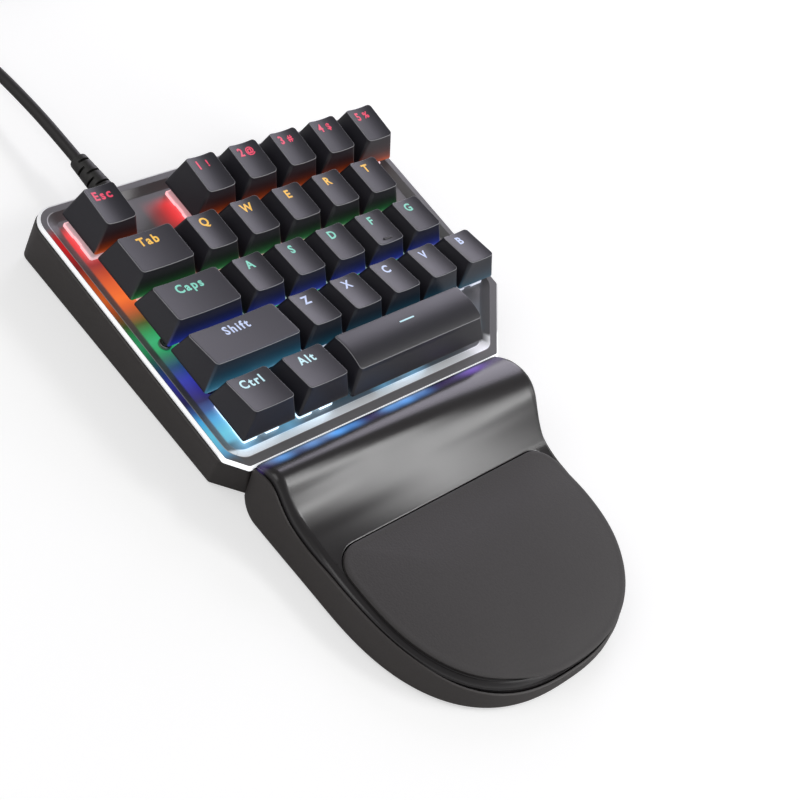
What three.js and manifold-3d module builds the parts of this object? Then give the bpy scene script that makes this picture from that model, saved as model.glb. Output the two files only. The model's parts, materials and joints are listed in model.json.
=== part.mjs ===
// A one-handed gaming keypad with a wrist rest: 27 keys on switches in a metal plate, a plastic case, a padded
// rest and a coiled cord. Millimetres, +Z up, +Y to the rear. The origin is on the table, under the middle.
import * as THREE from 'three';
import { mergeVertices } from 'three/addons/utils/BufferGeometryUtils.js';
import Module from 'manifold-3d';

const wasm = await Module();
wasm.setup();

// Key field. Rows run along X and their places are in key units from the left end of the field.
const keyPitch = 19.05;
const keyGap = 0.95;
const keyTravel = 3.6;
const typingAngle = THREE.MathUtils.degToRad(1.85);
const numberRowHeight = 23.88;
const seatGap = 0.3;
const overrun = 1.0;
const mergeTolerance = 0.0005;

// Keycaps
const capHeights = [10.7, 9.05, 8.15, 8.27, 8.4];
const capRises = [0.46, -0.02, -0.39, -1.02, -0.99];
const capShifts = [0.96, 0.8, 0.73, 1.08, 1.26];
const capTopDepth = 13.9;
const capTopNarrowing = 6.1;
const capWall = 1.1;
const capCeiling = 5.8;
const capFootRadius = 1.2;
const capTopRadius = 2.2;
const capRimWidth = 0.45;
const scoopDepth = 0.7;
const wideScoopDepth = 0.35;
const barCrown = 1.1;

// Switches
const switchFlange = 15.4;
const switchFlangeThickness = 1.0;
const switchRise = 6.3;
const switchTopWidth = 10.2;
const switchTopDepth = 10.4;
const switchShoulder = 14.2;
const switchDepthBelow = 5.0;
const plungerWidth = 6.4;
const plungerDepth = 5.2;
const plungerReach = 1.2;
const rowBarDepth = 1.6;
const rowBarThickness = 1.0;

// Stabilisers under the two wide keys
const stabiliserReaches = [11.9, 19.05];
const stabiliserWidth = 6.4;
const stabiliserFront = 7.1;
const stabiliserRear = 4.4;
const stabiliserTop = 2.6;
const stabiliserSlot = 2.8;
const stabiliserFloor = 0.6;
const stemBoss = 4.8;
const stemBossReach = 2.1;
const stemTongueDepth = 3.2;
const wireDiameter = 1.6;
const wireBack = 8.2;
const wireRise = 3.8;
const wireClearance = 1.0;

// Metal plate
const plateLeft = 6.8;
const plateRight = 141.5;
const plateRear = 15.1;
const plateFront = 92.75;
const plateRearRadius = 8.0;
const plateLeftCorner = 6.15;
const plateRightCorner = 24.4;
const plateCornerRadius = 2.5;
const plateFloorDrop = 5.0;
const plateThickness = 1.5;
const flangeRise = 1.7;
const flangeWidth = 2.25;
const flangeSlope = 2.7;
const edgeChamfer = 0.85;
const edgeLip = 0.4;
const switchCutout = 14.0;

// Case
const caseWall = 1.6;
const caseFloor = 2.0;
const caseInset = 0.2;
const caseDraft = 4.65;
const caseLedge = 0.95;
const caseFootRadius = 2.5;
const bossRadius = 2.9;
const screwShankRadius = 1.2;
const screwHeadRadius = 2.2;
const screwHeadHeight = 1.3;
const screwLength = 9.0;
const postRadius = 2.5;

// Circuit board
const boardThickness = 1.6;
const boardMargin = 7.0;
const boardCorner = 18.5;
const boardRadius = 2.0;
const chipSide = 9.0;
const chipThickness = 1.2;

// Wrist rest
const restCentre = 57.3;
const restLength = 101.2;
const restHalfWidth = 56.7;
const restStraight = 42.5;
const restRoundness = 2.5;
const restJoinGap = 0.4;
const restLeftFlare = 2.2;
const restRightFlare = 3.9;
const restFlareLength = 30.0;
const restLeftDraft = 2.6;
const restRightDraft = 4.4;
const restFrontLean = 3.5;
const restCornerDraw = 4.4;
const restCornerLength = 10.0;
const restWall = 2.0;
const crestDrop = 0.58;
const crestHeight = numberRowHeight - crestDrop;
const rimWall = 0.9;
const grooveWidth = 0.7;
const grooveDepth = 1.5;
const edgeRound = 3.0;
const restShellThickness = 1.8;
const ledgeWidth = 1.2;
const tongueWidth = 18.0;
const tongueThickness = 2.4;
const tongueLength = 6.0;
const tongueSpread = 32.0;
const tongueHeight = 5.0;

// Pad
const padSideMargin = 5.0;
const padHalfWidth = restHalfWidth - padSideMargin;
const padRear = 33.4;
const padFrontMargin = 3.8;
const padFront = restLength - padFrontMargin;
const padStraight = 45.0;
const padRoundness = 2.45;
const padCornerRadius = 10.0;
const padRecess = 2.6;
const padTray = 2.0;
const trayMargin = 1.2;
const padCrown = 1.6;
const padEdgeRound = 2.2;
const padGap = 0.35;

// Feet
const footHeight = 0.8;
const footRadius = 5.0;
const footBite = 0.6;

// Cord, its strain relief and its plug
const cordDiameter = 4.0;
const cordX = 32.8;
const cordHeight = 11.0;
const reliefLength = 20.9;
const reliefRootDiameter = 8.0;
const reliefTipDiameter = 6.2;
const reliefCollar = 10.0;
const reliefCollarThickness = 1.5;
const reliefRibs = 6;
const reliefCut = 0.8;
const coilMeanRadius = 22.0;
const coilLayers = 4;
const coilTurnsPerLayer = 2.3125;
const coilTurnPitch = 5.2;
const coilLayerRise = 4.8;
const coilX = 62.0;
const coilY = 153.0;
const tailLength = 50.0;
const tieWidth = 9.0;
const tieThickness = 0.8;
const gripLength = 24.0;
const gripWidth = 15.6;
const gripHeight = 8.0;
const plugLength = 12.5;
const plugWidth = 12.0;
const plugHeight = 4.5;
const plugWall = 0.4;
const plugTongue = 1.9;

const materials = {
  keycap: new THREE.MeshStandardMaterial({ color: 0x1e1c20, roughness: 0.45, metalness: 0 }),
  switch: new THREE.MeshStandardMaterial({ color: 0xd8d4d6, roughness: 0.3, metalness: 0 }),
  plate: new THREE.MeshStandardMaterial({ color: 0x6e6c6f, roughness: 0.35, metalness: 0.9 }),
  plastic: new THREE.MeshStandardMaterial({ color: 0x2b2827, roughness: 0.6, metalness: 0 }),
  gloss: new THREE.MeshStandardMaterial({ color: 0x242122, roughness: 0.35, metalness: 0 }),
  pad: new THREE.MeshStandardMaterial({ color: 0x34302f, roughness: 0.85, metalness: 0 }),
  board: new THREE.MeshStandardMaterial({ color: 0x10301c, roughness: 0.5, metalness: 0 }),
  steel: new THREE.MeshStandardMaterial({ color: 0xb4b4b8, roughness: 0.25, metalness: 1 }),
  screw: new THREE.MeshStandardMaterial({ color: 0x18181a, roughness: 0.4, metalness: 0.8 }),
  rubber: new THREE.MeshStandardMaterial({ color: 0x161514, roughness: 0.8, metalness: 0 }),
};

// Solids: a closed geometry becomes a solid that joins and cuts, and a solid becomes a geometry again.
function solid(geometry) {
  const bare = new THREE.BufferGeometry();
  bare.setAttribute('position', geometry.getAttribute('position').clone());
  if (geometry.index) bare.setIndex(geometry.index.clone());
  const merged = mergeVertices(bare, mergeTolerance);
  return new wasm.Manifold(new wasm.Mesh({
    numProp: 3,
    vertProperties: Float32Array.from(merged.getAttribute('position').array),
    triVerts: Uint32Array.from(merged.index.array),
  }));
}

function geometryOf(made) {
  const mesh = made.getMesh();
  const geometry = new THREE.BufferGeometry();
  geometry.setAttribute('position', new THREE.BufferAttribute(mesh.vertProperties, 3));
  geometry.setIndex(new THREE.BufferAttribute(mesh.triVerts, 1));
  geometry.computeVertexNormals();
  return geometry;
}

const join = (first, ...rest) => rest.reduce((sum, next) => sum.add(next), first);
const cut = (first, ...rest) => rest.reduce((left, next) => left.subtract(next), first);

// Closed skin through rings of points, each listed counter-clockwise from above, the lowest ring first.
// A mirrored ring is closed in strips between its left and right points, so that a curved top stays curved.
function loft(rings, mirrored = false) {
  const count = rings[0].length;
  const positions = rings.flat().flatMap((point) => [point.x, point.y, point.z]);
  const faces = [];
  for (let ring = 0; ring + 1 < rings.length; ring += 1) {
    for (let i = 0; i < count; i += 1) {
      const a = ring * count + i;
      const b = ring * count + ((i + 1) % count);
      faces.push(a, b, b + count, a, b + count, a + count);
    }
  }
  const last = (rings.length - 1) * count;
  if (mirrored) {
    for (let i = 0; i < Math.floor(count / 2); i += 1) {
      const left = i;
      const right = count - 1 - i;
      if (right - left < 2) break;
      const tip = right - left === 2;
      faces.push(last + left, last + left + 1, last + right);
      faces.push(left, right, left + 1);
      if (!tip) {
        faces.push(last + left + 1, last + right - 1, last + right);
        faces.push(left + 1, right, right - 1);
      }
    }
  } else {
    const caps = THREE.ShapeUtils.triangulateShape(rings[0].map((p) => new THREE.Vector2(p.x, p.y)), []);
    caps.forEach(([a, b, c]) => faces.push(last + a, last + b, last + c, a, c, b));
  }
  const geometry = new THREE.BufferGeometry();
  geometry.setAttribute('position', new THREE.Float32BufferAttribute(positions, 3));
  geometry.setIndex(faces);
  return geometry;
}

const lift = (outline, z) => outline.map((p) => new THREE.Vector3(p.x, p.y, z));
const prism = (outline, low, high) => solid(loft([lift(outline, low), lift(outline, high)]));
const taper = (lower, low, upper, high) => solid(loft([lift(lower, low), lift(upper, high)]));

function block(x0, x1, y0, y1, z0, z1) {
  const geometry = new THREE.BoxGeometry(x1 - x0, y1 - y0, z1 - z0);
  return solid(geometry.translate((x0 + x1) / 2, (y0 + y1) / 2, (z0 + z1) / 2));
}

function upright(radius, x, y, low, high, sides = 16) {
  const geometry = new THREE.CylinderGeometry(radius, radius, high - low, sides);
  return solid(geometry.rotateX(Math.PI / 2).translate(x, y, (low + high) / 2));
}

// A convex outline, counter-clockwise from above, whose corners are rounded by arcs of the given radii.
function rounded(corners, radii, steps) {
  const outline = [];
  corners.forEach((corner, i) => {
    const before = corners[(i + corners.length - 1) % corners.length];
    const after = corners[(i + 1) % corners.length];
    const towardsBefore = before.clone().sub(corner).normalize();
    const towardsAfter = after.clone().sub(corner).normalize();
    const half = Math.acos(THREE.MathUtils.clamp(towardsBefore.dot(towardsAfter), -1, 1)) / 2;
    const reach = radii[i] / Math.tan(half);
    const bisector = towardsBefore.clone().add(towardsAfter).normalize();
    const centre = corner.clone().add(bisector.multiplyScalar(radii[i] / Math.sin(half)));
    const start = corner.clone().add(towardsBefore.multiplyScalar(reach)).sub(centre);
    const turn = Math.PI - 2 * half;
    for (let k = 0; k <= steps; k += 1) {
      outline.push(start.clone().rotateAround(new THREE.Vector2(), turn * (k / steps)).add(centre));
    }
  });
  return outline;
}

function roundedBox(width, depth, radius, x, y, steps = 2) {
  const corners = [[-1, -1], [1, -1], [1, 1], [-1, 1]].map(
    ([a, b]) => new THREE.Vector2(x + (a * width) / 2, y + (b * depth) / 2),
  );
  return rounded(corners, [radius, radius, radius, radius], steps);
}

// The finished group, and the deck: the key field and plate, raised at the rear by the typing angle.
const keypad = new THREE.Group();
const table = new THREE.Group();
const deck = new THREE.Group();
deck.rotation.x = typingAngle;
deck.position.z = numberRowHeight;
deck.updateMatrix();
keypad.add(table);
table.add(deck);

function add(parent, name, made, material) {
  const mesh = new THREE.Mesh(made.isBufferGeometry ? made : geometryOf(made), material);
  mesh.name = name;
  parent.add(mesh);
  return mesh;
}

// The key field. Each key has its row, its left edge and width in key units, and its stabiliser if it has one.
const rowNames = ['number', 'upper', 'home', 'lower', 'bottom'];
const keyUnits = [
  { names: ['esc'], row: 0, startShare: 0, widthShare: 1 },
  { names: ['1', '2', '3', '4', '5'], row: 0, startShare: 2.25, widthShare: 1 },
  { names: ['tab'], row: 1, startShare: 0, widthShare: 1.5 },
  { names: ['q', 'w', 'e', 'r', 't'], row: 1, startShare: 1.5, widthShare: 1 },
  { names: ['caps'], row: 2, startShare: 0, widthShare: 1.75 },
  { names: ['a', 's', 'd', 'f', 'g'], row: 2, startShare: 1.75, widthShare: 1 },
  { names: ['shift'], row: 3, startShare: 0, widthShare: 2.25, stabiliser: stabiliserReaches[0] },
  { names: ['z', 'x', 'c', 'v', 'b'], row: 3, startShare: 2.25, widthShare: 1 },
  { names: ['ctrl', 'alt'], row: 4, startShare: 0, widthShare: 1.25 },
  { names: ['space'], row: 4, startShare: 2.5, widthShare: 3.5, stabiliser: stabiliserReaches[1] },
];
const keys = keyUnits.flatMap(({ names, row, startShare, widthShare, stabiliser }) => names.map((name, i) => ({
  name,
  row,
  width: widthShare * keyPitch,
  x: (startShare + (i + 1 / 2) * widthShare) * keyPitch,
  y: -row * keyPitch,
  stabiliser,
})));

// Keycap: a tapered shell with a scooped top. A post under its ceiling is the switch's plunger and moves with it.
function keycap({ name, row, width, x, y, stabiliser }) {
  const height = capHeights[row];
  const shift = capShifts[row];
  const slope = capRises[row] / (capTopDepth / 2);
  const footWidth = width - keyGap;
  const footDepth = keyPitch - keyGap;
  const topWidth = footWidth - capTopNarrowing;
  const foot = roundedBox(footWidth, footDepth, capFootRadius, x, y);
  const top = roundedBox(topWidth, capTopDepth, capTopRadius, x, y + shift);
  const isBar = name === 'space';
  const tilt = isBar ? 0 : slope;
  const topRing = top.map((p) => new THREE.Vector3(p.x, p.y, height + tilt * (p.y - y - shift)));
  let shell = solid(loft([lift(foot, 0), topRing]));

  if (isBar) {
    const radius = (capTopDepth ** 2 / 4 + barCrown ** 2) / (2 * barCrown);
    const drum = new THREE.CylinderGeometry(radius, radius, footWidth + 2 * overrun, 96);
    drum.rotateZ(Math.PI / 2).translate(x, y + shift, height - radius);
    shell = shell.intersect(solid(drum));
  } else {
    const depth = width > keyPitch ? wideScoopDepth : scoopDepth;
    const chord = topWidth - 2 * capRimWidth;
    const radius = (chord ** 2 / 4 + depth ** 2) / (2 * depth);
    const facets = Math.ceil((2 * Math.PI * radius) / chord) * 6;
    const drumLength = footDepth + 2 * radius * Math.abs(slope) + 2 * overrun;
    const drum = new THREE.CylinderGeometry(radius, radius, drumLength, facets);
    drum.rotateX(Math.atan(slope)).translate(x, y + shift, height - depth + radius * Math.hypot(1, slope));
    shell = shell.subtract(solid(drum));
  }

  const share = capCeiling / height;
  const ceilingWidth = footWidth - capTopNarrowing * share - 2 * capWall;
  const ceilingDepth = footDepth - (footDepth - capTopDepth) * share - 2 * capWall;
  const mouth = roundedBox(footWidth - 2 * capWall, footDepth - 2 * capWall, capWall / 2, x, y, 1);
  const ceiling = roundedBox(ceilingWidth, ceilingDepth, capWall / 2, x, y + shift * share, 1);
  shell = shell.subtract(taper(mouth, 0, ceiling, capCeiling));
  shell = shell.subtract(prism(mouth, -overrun, 0));

  const bite = (height - capCeiling) / 4;
  const post = block(
    x - plungerWidth / 2, x + plungerWidth / 2, y - plungerDepth / 2, y + plungerDepth / 2,
    -plungerReach, capCeiling + bite,
  );
  shell = join(shell, post);
  if (stabiliser) {
    const tongueEnd = -(wireAxisDrop - wireRise - wireDiameter / 2 - seatGap);
    [-stabiliser, stabiliser].forEach((reach) => {
      const boss = block(
        x + reach - stemBoss / 2, x + reach + stemBoss / 2, y - stemBoss / 2, y + stemBoss / 2,
        stemBossReach, capCeiling + bite,
      );
      const half = stabiliserSlot / 2 - seatGap;
      const tongue = block(
        x + reach - half, x + reach + half, y - stemTongueDepth / 2, y + stemTongueDepth / 2,
        tongueEnd, stemBossReach + overrun,
      );
      shell = join(shell, boss, tongue);
    });
  }
  return shell;
}

const plateTop = -plateFloorDrop;
const plateUnder = plateTop - plateThickness;
const flangeTop = plateTop + flangeRise;
const switchFoot = plateTop + seatGap;
const switchTop = plateTop + switchRise;
const switchBottom = plateTop - switchDepthBelow;
const boardTop = switchBottom - seatGap;
const boardUnder = boardTop - boardThickness;
const wireAxisDrop = -(plateUnder - wireDiameter / 2 - wireClearance);

keys.forEach((key) => add(deck, `keycap_${key.name}`, keycap(key), materials.keycap));

// Switch row: the switches of one row. Each has a flange on the plate, a clear hood above and a body below, and a
// well that its plunger slides in. A thin bar under the plate joins the bodies of the row.
function switchBody({ x, y }) {
  const shoulder = roundedBox(switchShoulder, switchShoulder, capFootRadius, x, y, 1);
  const crown = roundedBox(switchTopWidth, switchTopDepth, capFootRadius, x, y, 1);
  const half = switchFlange / 2;
  const flangeEnd = switchFoot + switchFlangeThickness;
  const flange = block(x - half, x + half, y - half, y + half, switchFoot, flangeEnd);
  const hood = taper(shoulder, flangeEnd - switchFlangeThickness / 2, crown, switchTop);
  const waist = switchCutout / 2 - seatGap;
  const body = block(x - waist, x + waist, y - waist, y + waist, switchBottom, switchFoot + seatGap);
  const wellWidth = plungerWidth / 2 + seatGap;
  const wellDepth = plungerDepth / 2 + seatGap;
  const well = block(
    x - wellWidth, x + wellWidth, y - wellDepth, y + wellDepth,
    -plungerReach - keyTravel - seatGap, switchTop + overrun,
  );
  return cut(join(flange, hood, body), well);
}

rowNames.forEach((rowName, row) => {
  const mine = keys.filter((key) => key.row === row);
  const waist = switchCutout / 2 - seatGap;
  const bar = block(
    mine[0].x, mine[mine.length - 1].x,
    mine[0].y + waist - rowBarDepth, mine[0].y + waist,
    switchBottom + rowBarThickness, switchBottom + 2 * rowBarThickness,
  );
  const cleared = cut(bar, ...mine.map(({ x, y }) => block(
    x - waist + seatGap, x + waist - seatGap, y - waist, y + waist, switchBottom, switchFoot,
  )));
  add(deck, `switch_row_${rowName}`, join(cleared, ...mine.map(switchBody)), materials.switch);
});

// Plate: a metal tray with a floor round the switches, a sloped step up to a flat border, and a bright chamfer.
// Its outline has two rounded corners at the rear and two cut corners in front. It can be inset all round, and
// further at the left, the right and the cut corners.
function plateOutline(inset, leftLedge = 0, draft = 0, rearRadius = plateRearRadius) {
  const left = -plateLeft - leftLedge + inset + draft;
  const right = plateRight - inset - draft;
  const rear = plateRear - inset;
  const front = -plateFront + inset;
  const cutBack = (inset + draft) * Math.SQRT2 - 2 * inset - draft;
  const leftCorner = plateLeftCorner + leftLedge + cutBack;
  const rightCorner = plateRightCorner + cutBack;
  const corners = [
    [left, rear], [left, front + leftCorner], [left + leftCorner, front],
    [right - rightCorner, front], [right, front + rightCorner], [right, rear],
  ].map(([x, y]) => new THREE.Vector2(x, y));
  const rearArc = Math.max(rearRadius - inset, capFootRadius);
  const frontArc = Math.max(plateCornerRadius - inset, capFootRadius / 2);
  return rounded(corners, [rearArc, frontArc, frontArc, frontArc, frontArc, rearArc], 4);
}

const screwShares = [[0.22, -2.29], [1.2825, -1], [3.64, -4]];
const screwPlaces = screwShares.map(([x, y]) => [x * keyPitch, y * keyPitch]);
const postShares = [[6.6, 0], [6.6, -3], [0.5, -4.3], [4.3, 0]];

const chamferFoot = flangeTop - edgeChamfer;
const lipFoot = chamferFoot - edgeLip;
const wallTop = lipFoot - seatGap;
const plugInset = caseInset + caseWall + 3 * seatGap;
let plate = join(
  solid(loft([lift(plateOutline(0), lipFoot), lift(plateOutline(0), chamferFoot), lift(plateOutline(edgeChamfer), flangeTop)])),
  prism(plateOutline(plugInset), plateUnder, lipFoot + edgeLip / 2),
);
const floorInset = edgeChamfer + flangeWidth + flangeSlope;
plate = plate.subtract(taper(plateOutline(floorInset), plateTop, plateOutline(floorInset - flangeSlope), flangeTop));
plate = plate.subtract(prism(plateOutline(floorInset - flangeSlope), flangeTop, flangeTop + overrun));
keys.forEach(({ x, y, stabiliser }) => {
  const half = switchCutout / 2;
  plate = plate.subtract(block(x - half, x + half, y - half, y + half, plateUnder - overrun, flangeTop));
  const relief = switchFlange / 2 + seatGap;
  plate = plate.subtract(block(x - relief, x + relief, y - relief, y + relief, plateTop, flangeTop + overrun));
  if (stabiliser) {
    [-stabiliser, stabiliser].forEach((reach) => {
      const side = stabiliserWidth / 2 + seatGap;
      plate = plate.subtract(block(
        x + reach - side, x + reach + side,
        y - stabiliserFront - seatGap, y + stabiliserRear + seatGap, plateUnder - overrun, flangeTop,
      ));
    });
  }
});
screwPlaces.forEach(([x, y]) => {
  plate = plate.subtract(upright(screwShankRadius + seatGap, x, y, plateUnder - overrun, flangeTop, 12));
});
add(deck, 'top_plate', plate, materials.plate);

// Stabiliser of a wide key: two slotted housings that stand on the board, and a bent wire that turns in their
// front clips. The wire's arms rise to the key's two stems, so that both ends of the key go down together.
const wireAngle = Math.asin(wireRise / wireBack);
keys.filter((key) => key.stabiliser).forEach(({ name, x, y, stabiliser }) => {
  const half = stabiliserWidth / 2;
  const slotHalf = stabiliserSlot / 2;
  const housingFoot = boardTop + seatGap;
  [['left', -stabiliser], ['right', stabiliser]].forEach(([side, reach]) => {
    const middle = x + reach;
    const housing = block(
      middle - half, middle + half, y - stabiliserFront, y + stabiliserRear, housingFoot, -stabiliserTop,
    );
    const slot = block(
      middle - slotHalf, middle + slotHalf, y - stabiliserFront - overrun, y + stemTongueDepth / 2 + seatGap,
      housingFoot + stabiliserFloor, -stabiliserTop + overrun,
    );
    add(deck, `stabiliser_${name}_${side}`, cut(housing, slot), materials.plastic);
  });

  const radius = wireDiameter / 2;
  const bar = new THREE.CylinderGeometry(radius, radius, 2 * stabiliser, 8).rotateZ(Math.PI / 2);
  const pieces = [solid(bar)];
  [-stabiliser, stabiliser].forEach((reach) => {
    const arm = new THREE.CylinderGeometry(radius, radius, wireBack, 8).translate(0, wireBack / 2, 0);
    pieces.push(solid(arm.rotateX(wireAngle).translate(reach, 0, 0)));
    pieces.push(solid(new THREE.SphereGeometry(radius, 8, 6).translate(reach, 0, 0)));
  });
  const wire = add(deck, `stabiliser_${name}_wire`, join(...pieces), materials.steel);
  wire.position.set(x, y - wireBack, -wireAxisDrop);
});

// Circuit board: carries the switches' pins, with the controller chip and the cord's header on its underside.
let board = prism(
  rounded([
    [-plateLeft + boardMargin, plateRear - boardMargin], [-plateLeft + boardMargin, -plateFront + boardMargin],
    [plateRight - boardMargin - boardCorner, -plateFront + boardMargin],
    [plateRight - boardMargin, -plateFront + boardMargin + boardCorner],
    [plateRight - boardMargin, plateRear - boardMargin],
  ].map(([x, y]) => new THREE.Vector2(x, y)), Array(5).fill(boardRadius), 2),
  boardUnder, boardTop,
);
screwPlaces.forEach(([x, y]) => {
  board = board.subtract(upright(bossRadius + seatGap, x, y, boardUnder - overrun, boardTop + overrun, 12));
});
board = join(
  board,
  block(
    cordX + 2 * chipSide, cordX + 3 * chipSide, -chipSide, 0,
    boardUnder - chipThickness, boardUnder + chipThickness / 2,
  ),
  block(
    cordX - chipSide / 2, cordX + chipSide / 2, -chipSide / 2, 0,
    boardUnder - 2 * chipThickness, boardUnder + chipThickness / 2,
  ),
);
add(deck, 'circuit_board', board, materials.board);

// Screws through the plate into the case's bosses
screwPlaces.forEach(([x, y], i) => {
  const head = upright(screwHeadRadius, x, y, plateTop + seatGap, plateTop + seatGap + screwHeadHeight, 12);
  const shank = upright(screwShankRadius, x, y, plateTop - screwLength, plateTop + 2 * seatGap, 10);
  add(deck, `plate_screw_${i + 1}`, join(head, shank), materials.screw);
});

// Case: a tray under the plate, level below and raised at the rear above. Its sides lean in towards the table,
// and at the left it stands out from under the plate by a narrow ledge.
const atTable = (x, y, z) => new THREE.Vector3(x, y, z).applyMatrix4(deck.matrix);
const caseFoot = footHeight;

function caseBody(inset, low, topLift) {
  const brim = plateOutline(inset, caseLedge);
  const foot = plateOutline(inset, caseLedge, caseDraft, caseFootRadius);
  return solid(loft([
    foot.map((p) => new THREE.Vector3(p.x, p.y, low)),
    brim.map((p) => atTable(p.x, p.y, wallTop + topLift)),
  ]));
}

// An upright of the case that stands square to the plate and ends under it
function caseUpright(radius, x, y, high, length, sides) {
  const shape = new THREE.CylinderGeometry(radius, radius, length, sides).rotateX(Math.PI / 2);
  return solid(shape.translate(x, y, high - length / 2).applyMatrix4(deck.matrix));
}

const outerCase = caseBody(caseInset, caseFoot, 0);
let tray = outerCase.subtract(caseBody(caseInset + caseWall, caseFoot + caseFloor, overrun));
const uprights = [
  ...screwPlaces.map(([x, y]) => caseUpright(bossRadius, x, y, plateUnder - seatGap, numberRowHeight, 12)),
  ...postShares.map(([x, y]) => caseUpright(
    postRadius, x * keyPitch, y * keyPitch, boardUnder - seatGap, numberRowHeight, 10,
  )),
];
tray = join(tray, ...uprights.map((shape) => shape.intersect(outerCase)));
tray = cut(tray, ...screwPlaces.map(([x, y]) => caseUpright(
  screwShankRadius + seatGap, x, y, plateTop, screwLength + overrun, 10,
)));

// The rest's two tongues slide into slots low in the case's front wall.
const caseFrontY = atTable(0, -plateFront + caseInset, wallTop).y;
const restRearY = caseFrontY - restJoinGap;
const tongueCentres = [restCentre - tongueSpread, restCentre + tongueSpread];
tray = cut(tray, ...tongueCentres.map((x) => block(
  x - tongueWidth / 2 - seatGap, x + tongueWidth / 2 + seatGap,
  caseFrontY - 2 * overrun, caseFrontY + caseWall + 2 * overrun,
  tongueHeight - seatGap, tongueHeight + tongueThickness + seatGap,
)));

// Feet: rubber discs let into the undersides of the case and the rest
const footShares = [['rear_left', 0.5, -0.25], ['rear_right', 6.4, -0.25], ['front_left', 0.5, -4], ['front_right', 5.4, -4]];
const footTop = footHeight + footBite;
footShares.forEach(([name, xShare, yShare]) => {
  const x = xShare * keyPitch;
  const y = yShare * keyPitch;
  tray = tray.subtract(upright(footRadius + seatGap, x, y, 0, footTop));
  add(table, `foot_${name}`, upright(footRadius, x, y, 0, footTop), materials.rubber);
});

// Strain relief: a ribbed rubber taper whose collar sits inside the rear wall and whose neck passes through it.
const wallAtCord = plateRear - caseInset;
const neckRadius = reliefRootDiameter / 2;
const neckHole = new THREE.CylinderGeometry(neckRadius + seatGap, neckRadius + seatGap, 8 * caseWall, 16);
tray = tray.subtract(solid(neckHole.translate(cordX, wallAtCord, cordHeight)));
add(table, 'bottom_case', tray, materials.plastic);

const reliefEnd = wallAtCord + reliefLength;
const tipRadius = reliefTipDiameter / 2;
const collarFront = wallAtCord - 2 * caseWall - reliefCollarThickness;
const shoulderY = wallAtCord + reliefLength / 8;
let relief = solid(new THREE.LatheGeometry([
  [0, collarFront], [reliefCollar / 2, collarFront], [reliefCollar / 2, collarFront + reliefCollarThickness],
  [neckRadius, collarFront + reliefCollarThickness], [neckRadius, shoulderY], [tipRadius, reliefEnd], [0, reliefEnd],
].map(([radius, y]) => new THREE.Vector2(radius, y)), 16));
const ribPitch = (reliefEnd - shoulderY) / (reliefRibs + 1);
for (let rib = 1; rib <= reliefRibs; rib += 1) {
  const low = shoulderY + rib * ribPitch - reliefCut / 2;
  const far = neckRadius + overrun;
  const near = cordDiameter / 2;
  [-1, 1].forEach((side) => {
    const [from, to] = side > 0 ? [near, far] : [-far, -near];
    relief = relief.subtract(rib % 2
      ? block(from, to, low, low + reliefCut, -far, far)
      : block(-far, far, low, low + reliefCut, from, to));
  });
}
add(table, 'strain_relief', relief, materials.rubber).position.set(cordX, 0, cordHeight);

// Wrist rest. Its outline is straight at the sides and rounded at the front. Its crest is longer at the right.
// A place along it is a share of its length from the rear, and a height at its left and right a share of its crest.
const crownShares = [
  [0, 0.815, 0.811], [0.0195, 0.884, 0.871], [0.044, 0.953, 0.931], [0.073, 0.983, 0.974], [0.107, 0.936, 1.0],
  [0.146, 0.828, 0.99], [0.19, 0.718, 0.93], [0.229, 0.654, 0.825], [0.273, 0.608, 0.69], [0.322, 0.578, 0.6],
  [0.37, 0.554, 0.554], [0.546, 0.519, 0.519], [0.75, 0.481, 0.481], [0.897, 0.442, 0.442], [1, 0.403, 0.403],
];
const rimShares = [
  [0, 0.755, 0.751], [0.0195, 0.798, 0.79], [0.044, 0.85, 0.837], [0.073, 0.871, 0.867], [0.107, 0.825, 0.86],
  [0.146, 0.72, 0.81], [0.19, 0.612, 0.735], [0.229, 0.552, 0.645], [0.273, 0.508, 0.545], [0.322, 0.483, 0.485],
  [0.37, 0.475, 0.462], [0.546, 0.464, 0.445], [0.75, 0.412, 0.4], [0.897, 0.33, 0.33], [1, 0.266, 0.266],
];

// Height at a distance from the rear. The side is -1 at the left edge, 1 at the right edge and between them inside.
function along(shares, distance, side) {
  const share = THREE.MathUtils.clamp(distance / restLength, 0, 1);
  const next = Math.max(1, shares.findIndex(([at]) => at >= share));
  const [fromAt, fromLeft, fromRight] = shares[next - 1];
  const [toAt, toLeft, toRight] = shares[next];
  const part = (share - fromAt) / (toAt - fromAt);
  const left = THREE.MathUtils.lerp(fromLeft, toLeft, part);
  const right = THREE.MathUtils.lerp(fromRight, toRight, part);
  return THREE.MathUtils.lerp(left, right, (side + 1) / 2) * crestHeight;
}

const rimAt = (distance, side) => along(rimShares, distance, side);
const crownAt = (distance, side) => along(crownShares, distance, side);
const sideStations = rimShares.map(([share]) => share * restLength).filter((s) => s < restStraight);
const frontSteps = 10;

// Half the width of the rest at a distance from its rear: drawn in at the rear corners near the table, flared
// towards the top there, and leaning in towards the top further forward.
function halfWidthAt(distance, height, side) {
  const up = THREE.MathUtils.clamp(height / crestHeight, 0, 1);
  const drawnIn = restCornerDraw * Math.max(0, 1 - distance / restCornerLength) ** 2;
  const nearRear = THREE.MathUtils.smoothstep(restStraight - distance, 0, restFlareLength);
  const [flare, draft] = side < 0 ? [restLeftFlare, restLeftDraft] : [restRightFlare, restRightDraft];
  return restHalfWidth - drawnIn * (1 - up) + THREE.MathUtils.lerp(-draft, flare, nearRear) * up;
}

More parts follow.
